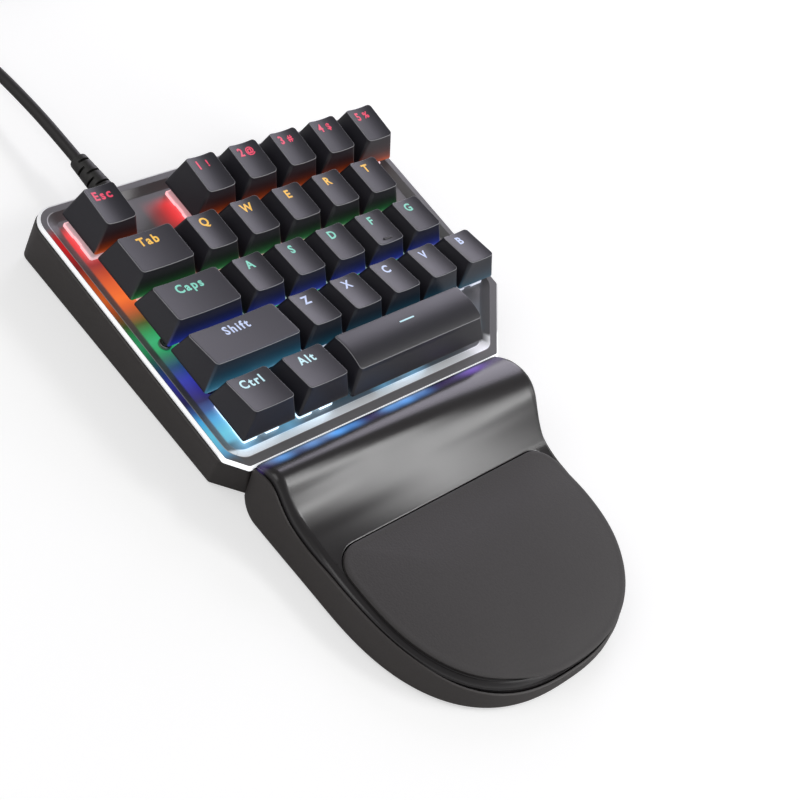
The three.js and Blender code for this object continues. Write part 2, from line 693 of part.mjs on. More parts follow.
// A ring runs down its left side from the rear to the tip in front, and back along its right side.
function ringOf(side) {
  const left = side(-1).map(({ half, distance, z }) => new THREE.Vector3(restCentre - half, restRearY - distance, z));
  const right = side(1).map(({ half, distance, z }) => new THREE.Vector3(restCentre + half, restRearY - distance, z));
  return [...left, ...right.slice(0, -1).reverse()];
}

function restRing(inset, height, rearInset = 0) {
  const stations = [rearInset, ...sideStations.filter((s) => s > Math.max(rearInset, 0) + mergeTolerance)];
  return ringOf((side) => {
    const places = stations.map((distance) => {
      const z = height(distance, side);
      return { half: halfWidthAt(Math.max(distance, 0), z, side) - inset, distance, z };
    });
    for (let k = 0; k <= frontSteps; k += 1) {
      const angle = (Math.PI / 2) * (k / frontSteps);
      const sideways = k === frontSteps ? 0 : Math.cos(angle) ** (2 / restRoundness);
      const forwards = Math.sin(angle) ** (2 / restRoundness);
      const distance = restStraight + forwards * (restLength - restStraight - inset);
      const z = height(distance, side * sideways);
      const up = z / crestHeight;
      const half = (halfWidthAt(restStraight, z, side) - inset - restFrontLean * forwards * up) * sideways;
      places.push({ half, distance: distance - restLeftDraft * forwards * up, z });
    }
    return places;
  });
}

// The rest's form up to the rim line, and up to its crowned top, each with an inset from the outline
function rimBody(inset, low, topLift, rearInset) {
  return solid(loft([
    restRing(inset, () => low, rearInset), restRing(inset, (d, side) => rimAt(d, side) + topLift, rearInset),
  ], true));
}

function crownBody(inset, low, drop, rearInset) {
  const shoulderShares = [0, 0.12, 0.35, 0.65, 1];
  const rings = shoulderShares.map((share) => {
    const rise = Math.sqrt(1 - (1 - share) ** 2);
    const height = (d, side) => THREE.MathUtils.lerp(rimAt(d, side), crownAt(d, side), rise) - drop;
    return restRing(inset + share * edgeRound, height, rearInset);
  });
  return solid(loft([restRing(inset, () => low, rearInset), ...rings], true));
}

// Lower part of the rest: a tray with a thin rim, a groove inside it, and a ledge that the upper part stands on
const shellInset = rimWall + grooveWidth;
const ledgeEnd = shellInset + ledgeWidth;
const seat = rimBody(rimWall, footHeight, overrun, -overrun)
  .subtract(rimBody(-overrun, 0, -grooveDepth, -2 * overrun));
let base = rimBody(0, footHeight, 0).subtract(seat);
base = base.subtract(rimBody(ledgeEnd, footHeight + restWall, overrun, restWall));
base = join(base, ...tongueCentres.map((x) => block(
  x - tongueWidth / 2, x + tongueWidth / 2, restRearY - restWall, caseFrontY + tongueLength,
  tongueHeight, tongueHeight + tongueThickness,
)));
[['left', -1], ['right', 1]].forEach(([name, side]) => {
  const x = restCentre + side * tongueSpread;
  const y = restRearY - (restLength + restStraight) / 2;
  base = base.subtract(upright(footRadius + seatGap, x, y, 0, footTop));
  add(table, `foot_rest_${name}`, upright(footRadius, x, y, 0, footTop), materials.rubber);
});
add(table, 'wrist_rest_base', base, materials.plastic);

// Pad outline: a D with a straight rear edge, rounded rear corners and a rounded front
function padRing(inset, height, shrinkShare = 1) {
  const outline = [];
  const radius = padCornerRadius - inset;
  const half = padHalfWidth - inset;
  const rear = padRear + inset;
  for (let k = 0; k <= 4; k += 1) {
    const angle = (Math.PI / 2) * (k / 4);
    outline.push([half - radius + radius * Math.sin(angle), rear + radius - radius * Math.cos(angle)]);
  }
  for (let k = 0; k <= frontSteps; k += 1) {
    const angle = (Math.PI / 2) * (k / frontSteps);
    const sideways = k === frontSteps ? 0 : Math.cos(angle) ** (2 / padRoundness);
    const forwards = Math.sin(angle) ** (2 / padRoundness);
    outline.push([half * sideways, padStraight + forwards * (padFront - padStraight - inset)]);
  }
  const middle = (padRear + padFront) / 2;
  return ringOf((side) => outline.map(([out, distance]) => {
    const shrunk = middle + (distance - middle) * shrinkShare;
    return { half: out * shrinkShare, distance: shrunk, z: height(shrunk, (side * out * shrinkShare) / half) };
  }));
}

const padFloorAt = (distance, side) => crownAt(distance, side) - padRecess;
const padSlab = (inset, low, high) => solid(loft([padRing(inset, low), padRing(inset, high)], true));

// Upper part of the rest: a thin shell with a crest behind the pad and a recess that the pad lies in
const crown = crownBody(shellInset, 0, 0, 0);
const underSeat = rimBody(-overrun, -overrun, seatGap - grooveDepth, -2 * overrun);
const insideLedge = rimBody(ledgeEnd + seatGap, -2 * overrun, overrun, restWall + seatGap);
const hollow = crownBody(shellInset + restShellThickness, -overrun, restShellThickness, restShellThickness);
const padTrayBlock = padSlab(
  -trayMargin, (d, side) => padFloorAt(d, side) - padTray, (d, side) => crownAt(d, side) - restShellThickness / 2,
).intersect(crown).subtract(underSeat.subtract(insideLedge));
let shell = join(cut(crown, underSeat, hollow), padTrayBlock);
shell = shell.subtract(padSlab(0, padFloorAt, (d, side) => crownAt(d, side) + overrun));
add(table, 'wrist_rest_shell', shell, materials.gloss);

const padEdge = (share, rise) => padRing(
  padGap + share * padEdgeRound, (d, side) => crownAt(d, side) - ((1 - rise) * padEdgeRound) / 2,
);
const padTopShares = [[0.93, 0.3], [0.8, 0.62], [0.6, 0.86], [0.3, 1]];
const padSkin = loft([
  padRing(padGap, (d, side) => padFloorAt(d, side) + seatGap),
  padEdge(0, 0), padEdge(0.25, 0.6), padEdge(1, 1),
  ...padTopShares.map(([shrinkShare, riseShare]) => padRing(
    padGap + padEdgeRound, (d, side) => crownAt(d, side) + riseShare * padCrown, shrinkShare,
  )),
], true);
add(table, 'wrist_pad', solid(padSkin), materials.pad);

// A tube along a curve, closed at both ends
function tube(curve, diameter, sides, steps) {
  const section = new THREE.Shape(Array.from({ length: sides }, (_, i) => {
    const angle = (2 * Math.PI * i) / sides;
    return new THREE.Vector2(Math.cos(angle), Math.sin(angle)).multiplyScalar(diameter / 2);
  }));
  return solid(new THREE.ExtrudeGeometry(section, { steps, extrudePath: curve, bevelEnabled: false, curveSegments: 1 }));
}

// Coil: one tube that spirals in and out again, layer on layer, and climbs in the half turn where it reverses.
// It starts and ends straight, one diameter long.
const coilTurns = coilLayers * coilTurnsPerLayer;
const coilSpan = coilTurnsPerLayer * coilTurnPitch;
const coilRadius = (share) => coilMeanRadius + (share - 1 / 2) * coilSpan;
const coilFoot = cordDiameter / 2 + tieThickness + seatGap;

function coilPoint(turn) {
  const phase = turn / coilTurnsPerLayer;
  const radius = coilRadius(Math.abs((phase % 2) - 1));
  let z = coilFoot;
  for (let layer = 1; layer < coilLayers; layer += 1) {
    z += coilLayerRise * THREE.MathUtils.smoothstep(turn, layer * coilTurnsPerLayer - 1 / 4, layer * coilTurnsPerLayer + 1 / 4);
  }
  const angle = Math.PI - 2 * Math.PI * turn;
  return new THREE.Vector3(coilX + radius * Math.cos(angle), coilY + radius * Math.sin(angle), z);
}

const coilSteps = Math.round(coilTurns * 20);
const coilPoints = Array.from({ length: coilSteps + 1 }, (_, i) => coilPoint((coilTurns * i) / coilSteps));
const straightOff = (from, to) => from.clone().add(from.clone().sub(to).setZ(0).setLength(cordDiameter));
const coilStart = straightOff(coilPoints[0], coilPoints[1]);
const coilEnd = straightOff(coilPoints[coilSteps], coilPoints[coilSteps - 1]);

class Polyline extends THREE.Curve {
  constructor(points) {
    super();
    this.points = points;
  }

  getPoint(t, target = new THREE.Vector3()) {
    const place = t * (this.points.length - 1);
    const from = Math.min(Math.floor(place), this.points.length - 2);
    return target.lerpVectors(this.points[from], this.points[from + 1], place - from);
  }

  getPointAt(t, target) {
    return this.getPoint(t, target);
  }

  getTangentAt(t) {
    const from = this.getPoint(Math.max(0, t - 1 / 2 / (this.points.length - 1)));
    const to = this.getPoint(Math.min(1, t + 1 / 2 / (this.points.length - 1)));
    return to.sub(from).normalize();
  }
}

const coilRoute = [coilStart, ...coilPoints, coilEnd];
add(table, 'cord_coil', tube(new Polyline(coilRoute), cordDiameter, 6, coilRoute.length - 1), materials.rubber);

// The least gap of the coil to itself, measured between centre line points more than a third of a turn apart
let leastGap = Infinity;
coilPoints.forEach((a, i) => {
  for (let j = i + 7; j < coilPoints.length; j += 1) {
    leastGap = Math.min(leastGap, a.distanceTo(coilPoints[j]) - cordDiameter);
  }
});
console.log(`least gap of the cord coil to itself: ${leastGap.toFixed(2)} mm`);

// Cord from its strain relief down to the coil: shares of the way along, sideways and down
const leaving = new THREE.Vector3(cordX, reliefEnd + seatGap, cordHeight);
const nearCoil = straightOff(coilStart, coilPoints[0]);
const cordShares = [
  [0.1, 0, 0], [0.21, 0.04, 0.04], [0.34, 0.14, 0.18], [0.46, 0.25, 0.39], [0.58, 0.38, 0.64], [0.7, 0.52, 0.83],
  [0.8, 0.68, 0.94], [0.9, 0.84, 0.99],
];
const cordRoute = cordShares.map(([onShare, sideShare, downShare]) => new THREE.Vector3(
  THREE.MathUtils.lerp(leaving.x, nearCoil.x, sideShare),
  THREE.MathUtils.lerp(leaving.y, nearCoil.y, onShare),
  THREE.MathUtils.lerp(leaving.z, nearCoil.z, downShare),
));
const arriving = nearCoil.clone().lerp(coilStart, 1 - seatGap / cordDiameter);
const leadCurve = new THREE.CatmullRomCurve3([leaving, ...cordRoute, nearCoil, arriving]);
add(table, 'usb_cord', tube(leadCurve, cordDiameter, 8, 12), materials.rubber);

// Free end from the top of the coil down to the plug, and the plug lying on the table
const gripY = coilEnd.y;
const gripX = coilEnd.x + tailLength;
const gripZ = gripHeight / 2;
const tailShares = [[0.08, 0.99], [0.25, 0.86], [0.45, 0.56], [0.65, 0.25], [0.82, 0.06], [0.94, 0.0]];
const tailRoute = tailShares.map(([share, upShare]) => new THREE.Vector3(
  THREE.MathUtils.lerp(coilEnd.x, gripX, share), gripY, THREE.MathUtils.lerp(gripZ, coilEnd.z, upShare),
));
const tailCurve = new THREE.CatmullRomCurve3([
  coilEnd.clone().setX(coilEnd.x + seatGap), ...tailRoute, new THREE.Vector3(gripX - seatGap, gripY, gripZ),
]);
add(table, 'cord_tail', tube(tailCurve, cordDiameter, 8, 8), materials.rubber);

const gripOutline = roundedBox(gripLength, gripWidth, gripWidth / 4, gripX + gripLength / 2, gripY);
add(table, 'usb_plug_grip', prism(gripOutline, 0, gripHeight), materials.rubber);
const plugStart = gripX + gripLength + seatGap;
const plugEnd = plugStart + plugLength;
const sleeve = cut(
  block(plugStart, plugEnd, gripY - plugWidth / 2, gripY + plugWidth / 2, gripZ - plugHeight / 2, gripZ + plugHeight / 2),
  block(
    plugStart + plugWall, plugEnd + overrun, gripY - plugWidth / 2 + plugWall, gripY + plugWidth / 2 - plugWall,
    gripZ - plugHeight / 2 + plugWall, gripZ + plugHeight / 2 - plugWall,
  ),
);
const plugTongueBlock = block(
  plugStart + plugWall / 2, plugEnd - plugWall, gripY - plugWidth / 2 + plugWall / 2,
  gripY + plugWidth / 2 - plugWall / 2, gripZ + plugHeight / 2 - plugWall - plugTongue, gripZ + plugHeight / 2 - plugWall / 2,
);
add(table, 'usb_plug_shell', join(sleeve, plugTongueBlock), materials.steel);

// Tie: a strap round the bundle of turns, on the coil's right
const bundleIn = coilRadius(0) - cordDiameter / 2 - seatGap;
const bundleOut = coilRadius(1) + cordDiameter / 2 + seatGap;
const bundleLow = coilFoot - cordDiameter / 2 - seatGap;
const bundleHigh = coilFoot + (coilLayers - 1) * coilLayerRise + cordDiameter / 2 + seatGap;
const strap = cut(
  block(
    bundleIn - tieThickness, bundleOut + tieThickness, -tieWidth / 2, tieWidth / 2,
    bundleLow - tieThickness, bundleHigh + tieThickness,
  ),
  block(bundleIn, bundleOut, -tieWidth, tieWidth, bundleLow, bundleHigh),
);
const tie = add(table, 'cord_tie', strap, materials.rubber);
tie.position.set(coilX, coilY, 0);
tie.rotation.z = -Math.PI / 4;

// The origin: on the table, under the middle of the keypad without its cord
const cordPieces = ['usb_cord', 'cord_coil', 'cord_tail', 'cord_tie', 'usb_plug_grip', 'usb_plug_shell', 'strain_relief'];
keypad.updateMatrixWorld(true);
const extent = new THREE.Box3();
keypad.traverse((node) => {
  if (node.isMesh && !cordPieces.includes(node.name)) extent.union(new THREE.Box3().setFromObject(node, true));
});
const middle = extent.getCenter(new THREE.Vector3());
table.position.set(-middle.x, -middle.y, 0);
keypad.updateMatrixWorld(true);

export default keypad;
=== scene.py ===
"""A one-handed gaming keypad with a padded wrist rest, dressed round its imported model."""
import json
import math

import bpy
import numpy as np
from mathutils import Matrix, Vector

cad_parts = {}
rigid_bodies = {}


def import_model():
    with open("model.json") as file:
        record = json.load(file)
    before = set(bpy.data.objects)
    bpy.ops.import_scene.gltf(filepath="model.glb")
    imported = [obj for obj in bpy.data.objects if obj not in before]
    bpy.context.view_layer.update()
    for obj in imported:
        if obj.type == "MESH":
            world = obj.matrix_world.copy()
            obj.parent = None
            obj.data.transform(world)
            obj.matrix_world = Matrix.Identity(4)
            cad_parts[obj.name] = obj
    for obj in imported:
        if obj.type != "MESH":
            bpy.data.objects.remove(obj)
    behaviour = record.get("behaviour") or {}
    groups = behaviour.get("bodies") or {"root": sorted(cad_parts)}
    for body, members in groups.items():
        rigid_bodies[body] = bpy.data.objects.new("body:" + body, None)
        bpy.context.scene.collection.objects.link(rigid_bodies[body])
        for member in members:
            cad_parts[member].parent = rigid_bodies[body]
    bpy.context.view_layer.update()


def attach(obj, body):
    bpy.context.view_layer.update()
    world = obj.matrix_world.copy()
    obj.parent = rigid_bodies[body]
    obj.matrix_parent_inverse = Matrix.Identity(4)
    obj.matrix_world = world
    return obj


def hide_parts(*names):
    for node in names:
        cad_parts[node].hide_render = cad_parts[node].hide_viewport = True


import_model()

# Camera. It looks down on the keypad from its front left with a long lens, and has no shift. Its place is in
# metres and its turn in degrees, worked out from the grid of keys in the photograph.
camera_place = (-0.44165, -0.18280, 0.44278)
camera_turn = (42.9356, -24.5695, -43.7576)
camera_lens = 90.12
camera_data = bpy.data.cameras.new("camera")
camera_data.lens = camera_lens
camera_data.sensor_width = 36.0
camera = bpy.data.objects.new("camera", camera_data)
camera.location = camera_place
camera.rotation_euler = [math.radians(angle) for angle in camera_turn]
bpy.context.collection.objects.link(camera)
bpy.context.scene.camera = camera
bpy.context.scene.view_settings.view_transform = "Standard"

# The lead: a round rubber cord. It leaves the rear wall through its strain relief, comes down to the table
# and is wound into a coil of four layers, and its free end lies beside the coil in a plug. Sizes are in
# millimetres from the left end of the key rows, the number row's middle and the table.
millimetre = 0.001
rows_from_middle = np.array([-66.975, 89.3084, 0.0])
cord_diameter = 4.0
cord_exit = np.array([32.8, 14.9, 11.0])
relief_length = 20.9
coil_centre = np.array([62.0, 153.0])
coil_mean_radius = 22.0
coil_layers = 4
coil_turns_per_layer = 2.3125
coil_turn_pitch = 5.2
coil_layer_rise = 4.8
tie_thickness = 0.8
tie_width = 9.0
seat_gap = 0.3
tail_length = 50.0
grip_size = (24.0, 15.6, 8.0)


def at_table(points):
    """Places above the table in metres, from millimetres along the key rows."""
    return (np.asarray(points, float) + rows_from_middle) * millimetre


def smooth_step(values, low, high):
    """Zero below low and one above high, with the curve 3t^2 - 2t^3 between them."""
    share = np.clip((np.asarray(values, float) - low) / (high - low), 0, 1)
    return share * share * (3 - 2 * share)


def coil_point(turn):
    """A spiral that runs in and out again at a steady rate, and climbs a layer where it reverses."""
    phase = turn / coil_turns_per_layer
    radius = coil_mean_radius + (np.abs(phase % 2 - 1) - 0.5) * coil_turns_per_layer * coil_turn_pitch
    height = cord_diameter / 2 + tie_thickness + seat_gap + np.zeros_like(turn)
    for layer in range(1, coil_layers):
        middle = layer * coil_turns_per_layer
        height += coil_layer_rise * smooth_step(turn, middle - 0.25, middle + 0.25)
    angle = np.pi - 2 * np.pi * turn
    x = coil_centre[0] + radius * np.cos(angle)
    y = coil_centre[1] + radius * np.sin(angle)
    return np.stack([x, y, height], axis=-1)


def straight_off(start, after):
    """The point one cord diameter before start, level with it and in line with the run from after."""
    away = (start - after) * [1, 1, 0]
    return start + away / np.linalg.norm(away) * cord_diameter


def hermite(points, steps):
    """A Catmull-Rom curve through points: cubic pieces whose slope at a point is half the step between its
    neighbours."""
    padded = np.concatenate([2 * points[:1] - points[1:2], points, 2 * points[-1:] - points[-2:-1]])
    slopes = (padded[2:] - padded[:-2]) / 2
    t = np.linspace(0, 1, steps, endpoint=False)[None, :, None]
    here, there = points[:-1, None], points[1:, None]
    rise, fall = slopes[:-1, None], slopes[1:, None]
    curve = (2 * t**3 - 3 * t**2 + 1) * here + (t**3 - 2 * t**2 + t) * rise
    curve = curve + (3 * t**2 - 2 * t**3) * there + (t**3 - t**2) * fall
    return np.concatenate([curve.reshape(-1, points.shape[1]), points[-1:]])


coil_turn_steps = 24
coil_turns = coil_layers * coil_turns_per_layer
coil_points = coil_point(np.linspace(0, coil_turns, round(coil_turns * coil_turn_steps) + 1))
coil_start = straight_off(coil_points[0], coil_points[1])
coil_end = straight_off(coil_points[-1], coil_points[-2])
leaving = cord_exit + [0, relief_length + seat_gap, 0]
near_coil = straight_off(coil_start, coil_points[0])
cord_shares = np.array([
    [0.1, 0, 0], [0.21, 0.04, 0.04], [0.34, 0.14, 0.18], [0.46, 0.25, 0.39], [0.58, 0.38, 0.64],
    [0.7, 0.52, 0.83], [0.8, 0.68, 0.94], [0.9, 0.84, 0.99],
])
lead_points = leaving + (near_coil - leaving) * cord_shares[:, [1, 0, 2]]
relief_points = cord_exit + np.array([0, 1, 0]) * np.linspace(0, relief_length, 5)[:, None]
lead_run = hermite(np.vstack([relief_points, lead_points, near_coil]), 2)
grip_start = np.array([coil_end[0] + tail_length, coil_end[1], grip_size[2] / 2])
tail_shares = np.array([
    [0, 1], [0.08, 0.99], [0.25, 0.86], [0.45, 0.56], [0.65, 0.25], [0.82, 0.06], [0.94, 0.0], [1, 0],
])
tail_points = np.column_stack([
    coil_end[0] + (grip_start[0] - coil_end[0]) * tail_shares[:, 0],
    np.full(len(tail_shares), coil_end[1]),
    grip_start[2] + (coil_end[2] - grip_start[2]) * tail_shares[:, 1],
])
tail_run = hermite(tail_points, 2)
cord_route = at_table(np.vstack([lead_run, coil_start, coil_points, tail_run]))

cord_curve = bpy.data.curves.new("usb_lead", "CURVE")
cord_curve.dimensions = "3D"
cord_curve.bevel_depth = cord_diameter / 2 * millimetre
cord_curve.bevel_resolution = 5
cord_curve.resolution_u = 3
cord_curve.use_fill_caps = True
cord_spline = cord_curve.splines.new("BEZIER")
cord_spline.bezier_points.add(len(cord_route) - 1)
cord_spline.bezier_points.foreach_set("co", cord_route.ravel())
for knot in cord_spline.bezier_points:
    knot.handle_left_type = "AUTO"
    knot.handle_right_type = "AUTO"
lead = bpy.data.objects.new("usb_lead", cord_curve)
bpy.context.collection.objects.link(lead)


def new_group(name, inputs, outputs):
    """An empty shader group with the named sockets, and its input and output nodes."""
    group = bpy.data.node_groups.new(name, "ShaderNodeTree")
    for label, kind, value in inputs:
        socket = group.interface.new_socket(label, in_out="INPUT", socket_type=kind)
        socket.default_value = value
    for label, kind in outputs:
        group.interface.new_socket(label, in_out="OUTPUT", socket_type=kind)
    return group, group.nodes.new("NodeGroupInput"), group.nodes.new("NodeGroupOutput")


def node(tree, kind, links=(), **values):
    """A node with its properties set, its inputs joined to sockets or given plain numbers."""
    made = tree.nodes.new(kind)
    for label, value in values.items():
        setattr(made, label, value)
    for socket, value in links:
        if isinstance(value, bpy.types.NodeSocket):
            tree.links.new(value, made.inputs[socket])
        else:
            made.inputs[socket].default_value = value
    return made


def worked_out(tree, operation, *values):
    """What a Math node makes of sockets or plain numbers."""
    return node(tree, "ShaderNodeMath", enumerate(values), operation=operation).outputs[0]


def vector_worked_out(tree, operation, *values):
    """What a Vector Math node makes of sockets or plain vectors."""
    return node(tree, "ShaderNodeVectorMath", enumerate(values), operation=operation).outputs[0]


def object_place(tree):
    """Where a point of the surface lies, in metres from its object's origin."""
    return node(tree, "ShaderNodeTexCoord").outputs["Object"]


# Moulded surface: a fine grain in the height and a slow change of shade and gloss, as handled plastic has.
# The shade is the colour times one plus a share of the grain, and the gloss is the roughness plus a share of
# the drift.
moulded, moulded_in, moulded_out = new_group(
    "moulded_surface",
    [
        ("Colour", "NodeSocketColor", (0.04, 0.04, 0.04, 1)),
        ("Shade change", "NodeSocketFloat", 0.15),
        ("Grain size", "NodeSocketFloat", 0.0005),
        ("Grain height", "NodeSocketFloat", 0.00001),
        ("Roughness", "NodeSocketFloat", 0.5),
        ("Roughness change", "NodeSocketFloat", 0.08),
    ],
    [("Colour", "NodeSocketColor"), ("Roughness", "NodeSocketFloat"), ("Normal", "NodeSocketVector")],
)
given = moulded_in.outputs
place = object_place(moulded)
cells = worked_out(moulded, "DIVIDE", 1.0, given["Grain size"])
grain_noise = node(moulded, "ShaderNodeTexNoise", [("Vector", place), ("Scale", cells), ("Detail", 2.0)])
drift_noise = node(moulded, "ShaderNodeTexNoise", [("Vector", place), ("Scale", 45.0), ("Detail", 3.0)])
grain, drift = grain_noise.outputs["Fac"], drift_noise.outputs["Fac"]
drift = worked_out(moulded, "SUBTRACT", drift, 0.5)
gloss = worked_out(moulded, "MULTIPLY_ADD", drift, given["Roughness change"], given["Roughness"])
tone = worked_out(moulded, "MULTIPLY_ADD", grain, given["Shade change"], 1.0)
shaded = vector_worked_out(moulded, "MULTIPLY", given["Colour"], tone)
relief = [("Height", grain), ("Distance", given["Grain height"]), ("Strength", 1.0)]
relief = node(moulded, "ShaderNodeBump", relief).outputs[0]
for label, result in (("Colour", shaded), ("Roughness", gloss), ("Normal", relief)):
    moulded.links.new(result, moulded_out.inputs[label])


def finish_of(
    name, colour, roughness, grain_size, grain_height, shade_change=0.15, roughness_change=0.08, **sockets,
):
    """A material with the moulded surface's colour, gloss and normal, and its other sockets as given."""
    material = bpy.data.materials.new(name)
    material.use_nodes = True
    tree = material.node_tree
    shader = tree.nodes["Principled BSDF"]
    surface = node(
        tree, "ShaderNodeGroup",
        [
            ("Colour", (*colour, 1)), ("Roughness", roughness), ("Roughness change", roughness_change),
            ("Grain size", grain_size * millimetre), ("Grain height", grain_height * millimetre),
            ("Shade change", shade_change),
        ],
        node_tree=moulded,
    )
    for label, socket in (("Colour", "Base Color"), ("Roughness", "Roughness"), ("Normal", "Normal")):
        tree.links.new(surface.outputs[label], shader.inputs[socket])
    for label, value in sockets.items():
        shader.inputs[label.replace("_", " ")].default_value = value
    return material


def dress_node(name, material):
    """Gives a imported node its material."""
    target = bpy.data.objects[name]
    target.data.materials.clear()
    target.data.materials.append(material)


cord_rubber = finish_of("cord_rubber", (0.014, 0.012, 0.012), 0.55, 0.35, 0.006, 0.3)
cord_curve.materials.append(cord_rubber)
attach(lead, "base")
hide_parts("usb_cord", "cord_coil", "cord_tail")


def skin(rings):
    """Closed skin: quads join each ring to the next, and a fan joins each end ring to its mean point. Rings
    are counter-clockwise seen from the side that they go towards."""
    rings = np.asarray(rings, float)
    levels, count = rings.shape[:2]
    here = np.arange(count)
    after = (here + 1) % count
    lower = np.arange(levels - 1)[:, None] * count
    quads = np.stack([lower + here, lower + after, lower + count + after, lower + count + here], axis=-1)
    end = (levels - 1) * count
    first, last = levels * count, levels * count + 1
    start_fan = np.stack([np.full(count, first), after, here], axis=-1)
    end_fan = np.stack([np.full(count, last), end + here, end + after], axis=-1)
    points = np.vstack([rings.reshape(-1, 3), rings[0].mean(axis=0), rings[-1].mean(axis=0)])
    return points, quads.reshape(-1, 4).tolist() + start_fan.tolist() + end_fan.tolist()


def band(rings):
    """Skin closed both ways: quads join each ring to the next, and the last ring to the first."""
    rings = np.asarray(rings, float)
    levels, count = rings.shape[:2]
    here = np.arange(count)
    after = (here + 1) % count
    lower = np.arange(levels)[:, None] * count
    upper = (lower + count) % (levels * count)
    quads = np.stack([lower + here, lower + after, upper + after, upper + here], axis=-1)
    return rings.reshape(-1, 3), quads.reshape(-1, 4).tolist()


def piece(name, skins, material, body="base", sharp_angle=38.0, attributes=None):
    """A mesh of one or more skins that rides on a body and takes the given material."""
    points, faces, total = [], [], 0
    for skin_points, skin_faces in skins:
        faces += [[index + total for index in face] for face in skin_faces]
        points.append(skin_points)
        total += len(skin_points)
    mesh = bpy.data.meshes.new(name)
    mesh.from_pydata(np.vstack(points).tolist(), [], faces)
    mesh.polygons.foreach_set("use_smooth", np.ones(len(faces), bool))
    mesh.set_sharp_from_angle(angle=math.radians(sharp_angle))
    for label, values in (attributes or {}).items():
        mesh.attributes.new(label, "FLOAT", "POINT").data.foreach_set("value", values)
    mesh.materials.append(material)
    mesh.validate()
    made = bpy.data.objects.new(name, mesh)
    bpy.context.collection.objects.link(made)
    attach(made, body)
    return made


# Strain relief: a soft rubber taper moulded on the lead. Slots are cut in its sides and in its top and bottom
# by turns, down to the cord, so that it bends evenly. Its collar is held inside the rear wall.
relief_root = 4.0
relief_tip = 3.1
relief_ribs = 6
relief_slot = 0.8
relief_shoulder = relief_length / 8
around = np.linspace(0, 2 * np.pi, 64, endpoint=False)
relief_pitch = (relief_length - relief_shoulder) / (relief_ribs + 1)
slot_centres = relief_shoulder + relief_pitch * np.arange(1, relief_ribs + 1)
slot_edges = np.add.outer(slot_centres, np.array([-0.56, -0.44, 0.44, 0.56]) * relief_slot).ravel()
stations = np.sort(np.concatenate([
    [
        -4.7, -4.65, -3.25, -3.2, -3.15, 0, relief_shoulder, relief_length - 0.5, relief_length - 0.15,
        relief_length,
    ],
    slot_edges, slot_centres - relief_pitch / 2,
]))
outer_radius = np.interp(
    stations,
    [-4.7, -4.65, -3.25, -3.2, relief_shoulder, relief_length - 0.5, relief_length - 0.15, relief_length],
    [4.85, 5.0, 5.0, relief_root, relief_root, relief_tip, relief_tip - 0.15, relief_tip - 0.5],
)
nearest_slot = np.abs(stations[:, None] - slot_centres).argmin(axis=1)
in_slot = np.abs(stations - slot_centres[nearest_slot]) < 0.5 * relief_slot
across = np.where((nearest_slot % 2)[:, None] == 0, np.abs(np.cos(around)), np.abs(np.sin(around)))
slot_radius = (cord_diameter / 2 + 0.1) / np.maximum(across, 0.3)
notched_radius = np.minimum(outer_radius[:, None], slot_radius)
relief_radius = np.where(in_slot[:, None], notched_radius, outer_radius[:, None])
relief_rings = np.stack([
    cord_exit[0] + relief_radius * np.cos(around),
    np.repeat(cord_exit[1] + stations[:, None], len(around), axis=1),
    cord_exit[2] - relief_radius * np.sin(around),
], axis=-1)
relief_rubber = finish_of("relief_rubber", (0.016, 0.015, 0.014), 0.5, 0.4, 0.008, 0.3)
strain_relief = piece(
    "strain_relief_sleeve", [skin(at_table(relief_rings))], relief_rubber, sharp_angle=30,
)
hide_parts("strain_relief")

# Plug: a moulded grip with finger ribs on its two broad sides, on the steel sleeve of a standard plug. The
# coil's strap is a soft band round its turns with rounded corners.
grip_shares, grip_fill = np.array([
    [0, 0.4], [0.01, 0.5], [0.03, 0.6], [0.08, 0.8], [0.2, 0.96], [0.24, 1], [0.26, 0.94], [0.3, 0.94],
    [0.34, 1], [0.36, 0.94], [0.4, 0.94], [0.44, 1], [0.46, 0.94], [0.5, 0.94], [0.54, 1], [0.56, 0.94],
    [0.6, 1], [0.9, 1], [0.97, 0.97], [0.99, 0.93], [1, 0.85],
]).T
grip_round = 0.45
lobe = np.abs(np.cos(around)) ** grip_round * np.sign(np.cos(around))
crest = np.abs(np.sin(around)) ** grip_round * np.sign(np.sin(around))
grip_rings = np.stack([
    np.repeat(grip_start[0] + grip_shares[:, None] * grip_size[0], len(around), axis=1),
    grip_start[1] + np.outer(np.where(grip_shares < 0.2, grip_fill, 1), lobe) * grip_size[1] / 2,
    grip_start[2] + np.outer(grip_fill, crest) * grip_size[2] / 2,
], axis=-1)
grip_rubber = finish_of("grip_rubber", (0.014, 0.013, 0.013), 0.6, 0.5, 0.01, 0.3)
plug_grip = piece("plug_grip", [skin(at_table(grip_rings))], grip_rubber)
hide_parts("usb_plug_grip")
plug_steel = finish_of("plug_steel", (0.6, 0.6, 0.61), 0.22, 0.2, 0.001, 0.05, 0.1, Metallic=1.0)
dress_node("usb_plug_shell", plug_steel)

bundle_span = coil_turns_per_layer * coil_turn_pitch / 2 + cord_diameter / 2 + seat_gap
bundle_rise = (coil_layers - 1) * coil_layer_rise / 2 + cord_diameter / 2 + seat_gap
bundle_middle = cord_diameter / 2 + tie_thickness + seat_gap + (coil_layers - 1) * coil_layer_rise / 2


